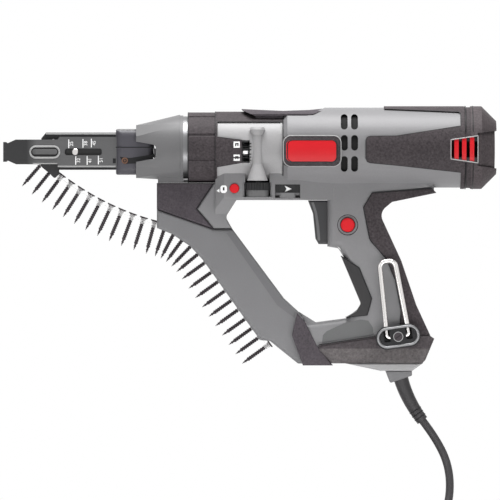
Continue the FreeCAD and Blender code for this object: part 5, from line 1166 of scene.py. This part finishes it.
@dataclass
class FeedNose:
    """Marks and fittings of nosepiece and feed slide; names with px hold points of the picture."""

    plate_y: float = -9.8
    block_y: float = -14.0
    bit_z: float = 100.0
    # Return spring
    spring_ends: tuple[float, float] = (-213.05, -144.95)
    spring_radius: float = 10.95
    spring_wire: float = 1.7
    spring_turns: int = 8
    stroke: float = 54.0
    # Length scale: place in the picture and screw length of each tick
    ticks: Sequence[tuple[float, float, str]] = (
        (69.0, 144.0, "25"),
        (83.2, 143.6, "38"),
        (91.6, 143.2, "45"),
        (76.0, 160.6, "32"),
        (87.4, 160.6, "41"),
        (98.6, 160.2, "51"),
    )
    tick_half: tuple[float, float] = (0.4, 4.0)
    figure_size: float = 4.4
    figure_shift: float = 2.6
    figure_lift: float = 0.06
    figure_depth: float = 0.03
    tick_lift: float = 0.05
    tick_depth: float = 0.04
    mark_depth: float = 0.15
    # Thumb rib, with half lengths and half heights
    rib_px: tuple[float, float] = (45.0, 152.2)
    rib_rim: tuple[float, float] = (13.4, 5.2)
    rib_pit: tuple[float, float] = (13.0, 4.8)
    rib_bar: tuple[float, float] = (11.6, 2.5)
    rib_radius: float = 0.9
    rib_bar_depth: float = 0.8
    rib_bar_edge: float = 0.5
    rib_bar_shift: float = 0.3
    # Joint line, lever and roller of the slide
    joint_px: Box = (116.0, 147.0, 154.0, 148.0)
    lever_px: Corners = (
        (120.0, 157.0), (130.0, 158.2), (154.0, 154.6), (154.5, 157.6), (136.0, 161.6), (136.0, 163.6),
        (124.0, 164.2),
    )
    roller_px: tuple[float, float] = (125.0, 160.8)
    roller_profile: Corners = (
        (0.0, 0.0), (0.0, 2.9), (0.2, 2.9), (0.2, 1.9), (0.08, 1.7), (0.08, 1.0), (0.22, 0.8), (0.22, 0.0),
    )

    def label(self, name: str, text: str, x: float, z: float, size: float) -> Piece:
        """Printed figures on the nose plate, turned a quarter.

        Args:
            name: the piece's name.
            text: the figures.
            x: middle along the tool.
            z: middle height.
            size: height of the figures in millimetres.

        Returns:
            The print.
        """
        bpy.ops.object.select_all(action="DESELECT")
        quarter = math.pi / 2
        place = at(x, self.plate_y - self.figure_lift, z)
        bpy.ops.object.text_add(location=place, rotation=(quarter, -quarter, 0))
        figures = bpy.context.object.data
        figures.body = text
        figures.size = size * MM
        figures.align_x = "CENTER"
        figures.align_y = "CENTER"
        figures.extrude = self.figure_depth * MM
        bpy.ops.object.convert(target="MESH")
        bpy.ops.object.transform_apply(location=True, rotation=True, scale=True)
        bpy.context.object.name = name
        return bpy.context.object

    def scale(self) -> None:
        """White length marks above and below the slot."""
        wide, high = self.tick_half
        y = self.plate_y - self.tick_lift
        for number, (px, py, text) in enumerate(self.ticks):
            x, z = from_picture(px, py)
            bar = [at(x + dx, y, z + dz) for dx, dz in pane(-wide, -high, wide, high)]
            dress(Bench.slab(f"length_tick_{number}", bar, at(0, self.tick_depth, 0)), PRINT, "nosepiece")
            figures = self.label(f"length_figure_{number}", text, x + self.figure_shift, z, self.figure_size)
            dress(figures, PRINT, "nosepiece")

    def thumb_rib(self) -> None:
        """Oblong rim with a bar on the side of the nosepiece, and painted shade in the pit round the bar."""
        x, z = from_picture(*self.rib_px)
        rim = oblong(x, z, *self.rib_rim, self.plate_y)
        dress(Bench.wire("nose_rim", rim, self.rib_radius, closed=True), TRIM_AND_HIGHLIGHT, "nosepiece")
        pit = oblong(x, z, *self.rib_pit, self.plate_y)
        # Black sheet painted as shade in the pit between rim and bar
        dress(Bench.slab("nose_pit_shade", pit, at(0, -self.mark_depth, 0)), BLACK, "nosepiece")
        bar = oblong(x, z + self.rib_bar_shift, *self.rib_bar, self.plate_y - self.rib_radius)
        piece = Bench.slab("nose_bar", bar, at(0, self.rib_bar_depth, 0), self.rib_bar_edge)
        dress(piece, NOSE, "nosepiece")

    def block_marks(self) -> None:
        """Joint line, lever and roller on the side of the slide."""
        line = flat(pane(*self.joint_px), self.block_y)
        dress(Bench.slab("slide_joint_line", line, at(0, -PRINT_LIFT, 0)), BLACK, "feed_slide")
        lever = flat(self.lever_px, self.block_y)
        dress(Bench.slab("slide_lever", lever, at(0, -self.mark_depth, 0)), BLACK, "feed_slide")
        centre = flat([self.roller_px], self.block_y)[0]
        roller = Bench.lathe("slide_roller", self.roller_profile, centre, Vector((0, -1, 0)))
        dress(roller, ROLLER, "feed_slide")

    def rails(self) -> None:
        """Painted highlights and painted shade along the plate and the rails of the slide."""
        plate, block = Side(-self.plate_y), Side(-self.block_y)
        # Light strips are painted highlights on lit edges; black strips are painted shade under the rails and
        # in the notch
        for name, finish, side, body, box_px in (
            ("nose_top_rail_highlight", TRIM_AND_HIGHLIGHT, plate, "feed_slide", (46.0, 132.6, 116.0, 134.6)),
            ("nose_top_rail_shadow", BLACK, plate, "feed_slide", (45.5, 135.0, 116.0, 137.0)),
            ("nose_low_highlight", TRIM_AND_HIGHLIGHT, plate, "nosepiece", (58.0, 165.8, 116.0, 167.1)),
            ("nose_tip_highlight", TRIM_AND_HIGHLIGHT, plate, "nosepiece", (33.0, 163.2, 57.5, 164.2)),
            ("nose_low_rail_shadow", BLACK, plate, "feed_slide", (59.0, 168.3, 116.0, 169.6)),
            ("nose_notch_shade", BLACK, plate, "nosepiece", (113.0, 158.6, 116.0, 163.4)),
            ("slide_top_highlight", TRIM_AND_HIGHLIGHT, block, "feed_slide", (117.0, 129.6, 135.0, 130.7)),
        ):
            decal(name, pane(*box_px), side, finish, body)

    def spring(self) -> None:
        """Return spring between the slide and the gear case, made as a fixed coil; the nose presses it
        together in the real tool.
        """
        start, end = self.spring_ends
        count = self.spring_turns * 20
        points = []
        for number in range(count + 1):
            turn = 2 * math.pi * self.spring_turns * number / count
            x = start + (end - start) * number / count
            side, up = self.spring_radius * math.cos(turn), self.spring_radius * math.sin(turn)
            points.append(at(x, side, self.bit_z + up))
        piece = dress(Bench.wire("feed_spring", points, self.spring_wire / 2), STEEL)
        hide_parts("return_spring")
        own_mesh(piece)

    def build(self) -> None:
        """Make every piece of the nose."""
        self.scale()
        self.rails()
        self.spring()
        self.thumb_rib()
        self.block_marks()


@dataclass
class Trim:
    """Seams, rims, prints, painted shade in the casing's dark insides and painted highlights; names with px
    hold points of the picture.
    """

    # Seams: surface, corners and radius of the line
    seams: dict[str, tuple[Side, Corners, float]] = field(
        default_factory=lambda: {
            "barrel_panel_seam": (
                Side(37.75, MOTOR_AXIS),
                (
                    (81.2, 81.0), (22.0, 87.5), (-2.0, 89.7), (-4.9, 90.9), (-6.0, 94.0), (-6.0, 110.0),
                    (-4.9, 113.0), (-2.0, 114.0), (22.0, 114.3), (81.2, 123.5), (81.2, 135.0), (79.2, 136.6),
                    (11.0, 139.5),
                ),
                0.45,
            ),
            "gear_panel_seam": (
                Side(32.8, MOTOR_AXIS),
                (
                    (-142.4, 86.0), (-119.6, 90.0), (-119.6, 110.5), (-142.4, 113.5), (-142.4, 127.5),
                    (-84.0, 127.5),
                ),
                0.4,
            ),
            "handle_seam": (
                RUBBER_EDGE,
                (
                    (55.2, 66.3), (0.0, 62.3), (-8.0, 49.0), (-2.6, 20.5), (-1.0, 17.6), (11.6, 3.2),
                    (13.6, 0.2), (21.2, -18.0), (26.5, -45.8), (25.4, -60.0),
                ),
                0.4,
            ),
            "insert_seam": (
                RUBBER_EDGE,
                ((-28.5, 4.3), (-12.0, -6.5), (-0.5, -34.5), (-4.5, -50.0), (-24.0, -52.0)),
                0.4,
            ),
            "elbow_seam": (
                ELBOW_SIDE,
                ((-145.4, 71.0), (-161.0, 47.6), (-145.4, 29.2), (-129.0, 29.2)),
                0.35,
            ),
            "shoe_seam": (Side(20.2), ((-49.0, -77.2), (2.8, -69.3)), 0.5),
        }
    )
    # Rings about the motor's axis: place, radius and radius of the line
    rings: Sequence[tuple[str, float, float, float]] = (
        # The collar's front ring is painted shadow at the collar's face; the other rings are dark joints
        ("collar_front_shadow_ring", -168.9, 32.0, 0.55),
        ("collar_rear_ring", -144.1, 33.0, 0.35),
        ("joint_ring", -82.0, 33.3, 0.4),
    )
    # Rear grilles, with the half heights at both ends and the slots between the bars
    grille_start: float = 71.85
    grille_end: float = 96.65
    grille_halves: tuple[float, float] = (8.8, 12.4)
    grille_middle: float = 102.0
    grille_gaps: Corners = ((72.45, 74.95), (78.95, 82.05), (86.05, 89.15), (93.15, 96.25))
    grille_bar_half: float = 7.4
    grille_edge: float = 0.4
    grille_rim_radius: float = 0.5
    grille_shade_depth: float = 0.1
    # End cap and badges
    cap_lines: Sequence[tuple[str, float]] = (("cap_line_front", 85.6), ("cap_line_rear", 92.3))
    cap_radius: float = 38.0
    cap_line_radius: float = 0.5
    badge_middle: tuple[float, float] = (-55.2, 100.5)
    badge_line_radius: float = 0.45
    # Dark linings painted as shade inside vents and grilles: start, end, inner and outer radius
    vent_shadow_lining: Box = (-40.0, 12.0, 34.06, 34.12)
    rear_shadow_lining: Box = (67.0, 104.0, 25.0, 25.3)
    # Reverse slider and neck
    pocket_px: Box = (275.3, 183.2, 299.7, 195.6)
    arrow_px: Corners = ((284.6, 185.9), (291.6, 189.1), (284.6, 192.3), (286.4, 189.1))
    neck_shim: Box = (-173.4, 71.7, -168.9, 74.8)
    neck_half: float = 9.0
    # Depth signs, comb and pointer
    sign_tops_px: Sequence[tuple[str, float]] = (("depth_sign_upper", 142.0), ("depth_sign_lower", 155.0))
    sign_ends_px: tuple[float, float] = (233.7, 239.9)
    sign_height_px: float = 6.2
    sign_mark_ends_px: tuple[float, float] = (235.2, 238.6)
    sign_mark_rows_px: tuple[float, float] = (1.6, 4.6)
    sign_mark_wall_px: float = 1.1
    comb_px: Sequence[float] = (143.5, 146.5, 149.5, 154.0, 157.0, 160.0)
    comb_ends_px: tuple[float, float] = (249.4, 251.4)
    comb_height_px: float = 1.3
    pointer_px: Box = (243.2, 151.2, 247.8, 154.4)
    # Sign by the release button
    release_px: Corners = (
        (220.5, 187.2), (222.0, 185.6), (225.6, 185.6), (227.0, 187.2), (227.0, 191.4), (225.4, 193.2),
        (222.0, 193.2), (220.5, 191.4),
    )
    release_tip_px: Corners = ((216.6, 191.0), (219.6, 188.8), (219.6, 192.8))
    release_mark_px: Box = (223.0, 187.4, 224.6, 190.6)
    # Lock button
    lock_middle: tuple[float, float] = (-22.5, 32.8)
    lock_floor: float = -15.2
    lock_ring_profile: Box = (0.02, 0.1, 6.9, 9.5)
    lock_edges: Sequence[tuple[str, float]] = (("lock_recess_shadow", 9.4), ("lock_button_edge", 6.8))
    lock_edge_radius: float = 0.35
    lock_edge_lift: float = 0.2
    # Foot and magazine arm with painted shade, gear case and trigger with painted highlights
    foot_shade_px: Corners = (
        (321.8, 342.8), (322.8, 335.0), (326.2, 331.3), (336.5, 326.4), (346.0, 322.6), (360.0, 319.4),
        (368.0, 320.5), (372.5, 327.0), (373.5, 335.0), (345.0, 339.4),
    )
    arm_shade_px: Corners = (
        (232.6, 230.6), (283.2, 300.4), (295.6, 311.6), (294.8, 318.0), (277.4, 305.4), (226.6, 233.2),
    )
    case_end: float = -83.6
    case_highlights: Sequence[tuple[str, float, float]] = (
        ("case_highlight_top", 127.0, 115.5), ("case_highlight_low", 86.0, 76.0),
    )
    case_highlight_radius: float = 1.25
    case_highlight_lift: float = -0.9
    web_px: Corners = ((299.0, 311.8), (318.4, 323.9), (305.4, 324.9), (304.0, 318.4))
    web_half: float = 12.0
    shine_px: Corners = (
        (311.4, 202.4), (313.8, 202.4), (317.0, 212.5), (319.2, 226.6), (320.2, 240.6), (317.8, 240.6),
        (316.4, 226.6), (314.4, 212.5),
    )

    def seam_lines(self) -> None:
        """Dark lines where rubber and casing meet, on both sides."""
        for name, (side, corners, radius) in self.seams.items():
            both_sides(name, side.follow(corners), radius, BLACK)
        # Dark joint rings, and a painted shadow ring at the collar's front
        for name, x, radius, thick in self.rings:
            circle = round_motor(x, radius, range(180, -180, -5))
            dress(Bench.wire(name, circle, thick, closed=True), BLACK)
        for name, x in self.cap_lines:
            for half, start in (("top", 22), ("low", 202)):
                arc = round_motor(x, self.cap_radius, range(start, start + 140, 4))
                dress(Bench.wire(f"{name}_{half}", arc, self.cap_line_radius), BLACK)

    def badge_rims(self) -> None:
        """Light edge round the badge frames and a dark line round the red plates."""
        for name, half_length, half_height, corner, lift, finish in (
            ("badge_edge", 26.4, 14.1, 7.0, 0.0, TRIM_AND_HIGHLIGHT),
            ("badge_inner_edge", 22.7, 10.0, 4.9, -0.1, BLACK),
        ):
            x, z = self.badge_middle
            outline = []
            for number in range(40):
                angle = math.radians(4.5 + 9 * number)
                side_x = math.copysign(half_length - corner, math.cos(angle))
                side_z = math.copysign(half_height - corner, math.sin(angle))
                outline.append((x + side_x + corner * math.cos(angle), z + side_z + corner * math.sin(angle)))
            line = BARREL_RUBBER.follow([*outline, outline[0]], lift)[:-1]
            both_sides(name, line, self.badge_line_radius, finish, closed=True)

    def grille(self) -> None:
        """Bright rim round the rear grilles, and painted shade at the ends of the slots between the red bars.
        """

        def half(x: float) -> float:
            """Half height of the grille at a place."""
            share = (x - self.grille_start) / (self.grille_end - self.grille_start)
            return self.grille_halves[0] + (self.grille_halves[1] - self.grille_halves[0]) * share

        start, end, middle = self.grille_start, self.grille_end, self.grille_middle
        corners = [(start, middle - half(start)), (start, middle + half(start)), (end, middle + half(end))]
        corners += [(end, middle - half(end)), corners[0]]
        rim = BARREL_RUBBER.follow(corners)[:-1]
        both_sides("grille_rim", rim, self.grille_rim_radius, TRIM_AND_HIGHLIGHT, closed=True)
        # Black sheets painted as shade at the ends of the slots
        for number, (low, high) in enumerate(self.grille_gaps):
            for name, sign in (("top", 1), ("low", -1)):
                bar, edge = self.grille_bar_half, self.grille_edge
                tip = [(low, middle + sign * bar), (low, middle + sign * (half(low) - edge))]
                tip += [(high, middle + sign * (half(high) - edge)), (high, middle + sign * bar)]
                outline = [GRILLE_SIDE.spot(x, z, PRINT_LIFT) for x, z in tip]
                inward = at(0, self.grille_shade_depth, 0)
                for hand, points, depth in (("left", outline, inward), ("right", mirrored(outline), -inward)):
                    piece = Bench.slab(f"grille_gap_{name}_{number}_{hand}", points, depth)
                    dress(piece, BLACK)

    def linings(self) -> None:
        """Dark sheets painted as shade inside vents and grilles, the slider's pocket and the shim at the
        neck.
        """
        # Dark sheets painted as shade inside vents and rear grilles
        for name, sizes in (("vent_shadow_lining", self.vent_shadow_lining), ("rear_shadow_lining", self.rear_shadow_lining)):
            lining = Bench.lathe(name, tube(*sizes), at(0, 0, MOTOR_AXIS), Vector((1, 0, 0)), 64)
            dress(lining, SHADOW_BLACK)
        decal("slider_pocket", pane(*self.pocket_px), POCKET_SIDE, SLIDER)
        shim = [at(x, -self.neck_half, z) for x, z in pane(*self.neck_shim)]
        dress(Bench.slab("neck_shim", shim, at(0, 2 * self.neck_half, 0)), FRONT)

    def prints(self) -> None:
        """Plain pictograms, the depth comb, the pointer's tick and the arrow of the slider."""
        left, right = self.sign_ends_px
        mark_left, mark_right = self.sign_mark_ends_px
        high, low = self.sign_mark_rows_px
        for name, top in self.sign_tops_px:
            decal(name, pane(left, top, right, top + self.sign_height_px), GEAR_RUBBER, PRINT)
            mark = arch(mark_left, top + high, mark_right, top + low, self.sign_mark_wall_px)
            decal(name + "_mark", mark, SIGN_SIDE, BLACK)
        left, right = self.comb_ends_px
        for number, py in enumerate(self.comb_px):
            tooth = pane(left, py, right, py + self.comb_height_px)
            decal(f"depth_comb_{number}", tooth, GEAR_SIDE, BLACK)
        decal("pointer_tick", pane(*self.pointer_px), POINTER_SIDE, PRINT, "depth_pointer")
        decal("release_sign", self.release_px, BRIDGE_SIDE, PRINT)
        decal("release_sign_tip", self.release_tip_px, BRIDGE_SIDE, PRINT)
        decal("release_sign_mark", pane(*self.release_mark_px), BRIDGE_PRINT, BLACK)
        decal("slider_arrow", self.arrow_px, SLIDER_SIDE, PRINT, "reverse_slider")

    def lock_ring(self) -> None:
        """Floor of the recess round the lock button, with a painted shadow line round the recess and a dark
        joint round the button.
        """
        x, z = self.lock_middle
        centre = at(x, self.lock_floor, z)
        ring = Bench.lathe("lock_recess", tube(*self.lock_ring_profile), centre, Vector((0, -1, 0)), 40)
        dress(ring, CASING)
        # The recess's edge is a painted shadow line; the button's edge is a dark joint
        for name, radius in self.lock_edges:
            outline = oblong(x, z, radius, radius, self.lock_floor - self.lock_edge_lift)
            dress(Bench.wire(name, outline, self.lock_edge_radius, closed=True), BLACK)

    def facets(self) -> None:
        """Painted shade on foot and arm, painted highlights on the edges of gear case and on the trigger, and
        the web at the foot.
        """
        # Darker grey painted as shade on the foot's side
        decal("foot_painted_shade", self.foot_shade_px, GRIP_SIDE, PAINTED_SHADE)
        # Darker strip painted as shade along the arm's edge
        decal("arm_edge_shade", self.arm_shade_px, ARM_SIDE, ARM_EDGE_SHADE)
        # Light lines painted as highlights along the gear case's rear edge
        for name, high, low in self.case_highlights:
            edge = GEAR_SIDE.follow([(self.case_end, high), (self.case_end, low)], self.case_highlight_lift)
            dress(Bench.wire(name, edge, self.case_highlight_radius), TRIM_AND_HIGHLIGHT)
        web = flat(self.web_px, -self.web_half)
        dress(Bench.slab("foot_web", web, at(0, 2 * self.web_half, 0)), CASING)
        flank = Side(-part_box("trigger")[0].y / MM)
        # Lighter band painted as a highlight on the trigger's side
        decal("trigger_shine", self.shine_px, flank, TRIGGER_SHINE, "trigger")

    def build(self) -> None:
        """Make the trim."""
        self.seam_lines()
        self.badge_rims()
        self.grille()
        self.linings()
        self.prints()
        self.lock_ring()
        self.facets()


@dataclass
class BeltHook:
    """Bright rim of the hook's plate, a painted highlight round the edge of its screw, and its slot, in
    millimetres.
    """

    middle: tuple[float, float] = (23.7, -69.7)
    face: float = -28.1
    tilt: float = 8.0
    plate_half: tuple[float, float] = (18.6, 8.6)
    screw_radius: float = 4.3
    screw_highlight: float = 0.3
    slot_half: tuple[float, float] = (4.0, 0.55)
    slot_tilt: float = 35.0
    slot_lift: float = 0.05
    slot_depth: float = 0.04

    def build(self) -> None:
        """Make the rim, the painted highlight round the screw and the slot."""
        x, z = self.middle
        for name, grown, radius, finish in (("hook_rim", 0.0, 1.4, RING), ("hook_rim_edge", 1.6, 0.5, BLACK)):
            half_length, half_height = (half + grown for half in self.plate_half)
            outline = oblong(x, z, half_length, half_height, self.face, self.tilt)
            dress(Bench.wire(name, outline, radius, closed=True), finish)
        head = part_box("hook_screw")[0].y / MM
        circle = oblong(x, z, self.screw_radius, self.screw_radius, head)
        # Light ring painted as a highlight round the screw head
        dress(Bench.wire("hook_screw_highlight", circle, self.screw_highlight, closed=True), TRIM_AND_HIGHLIGHT)
        lean = math.radians(self.slot_tilt)
        along = Vector((math.cos(lean), 0, math.sin(lean)))
        across = Vector((-math.sin(lean), 0, math.cos(lean)))
        length, width = self.slot_half
        corners = pane(-length, -width, length, width)
        centre = at(x, head - self.slot_lift, z)
        slot = [centre + (along * a + across * b) * MM for a, b in corners]
        dress(Bench.slab("hook_screw_slot", slot, at(0, self.slot_depth, 0)), BLACK)


def main() -> None:
    """Load the frame, dress it and add the pieces that CAD leaves to the looks."""
    logging.basicConfig(level=logging.INFO, format="%(message)s")
    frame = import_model()
    Studio().build()
    PowerCord().build(frame)
    for finish, names in DRESS.items():
        for name in names:
            node = frame["nodes"][name]
            node.data.materials.clear()
            node.data.materials.append(finish.material())
    ScrewStrip().build()
    FeedNose().build()
    Trim().build()
    BeltHook().build()


if __name__ == "__main__":
    main()
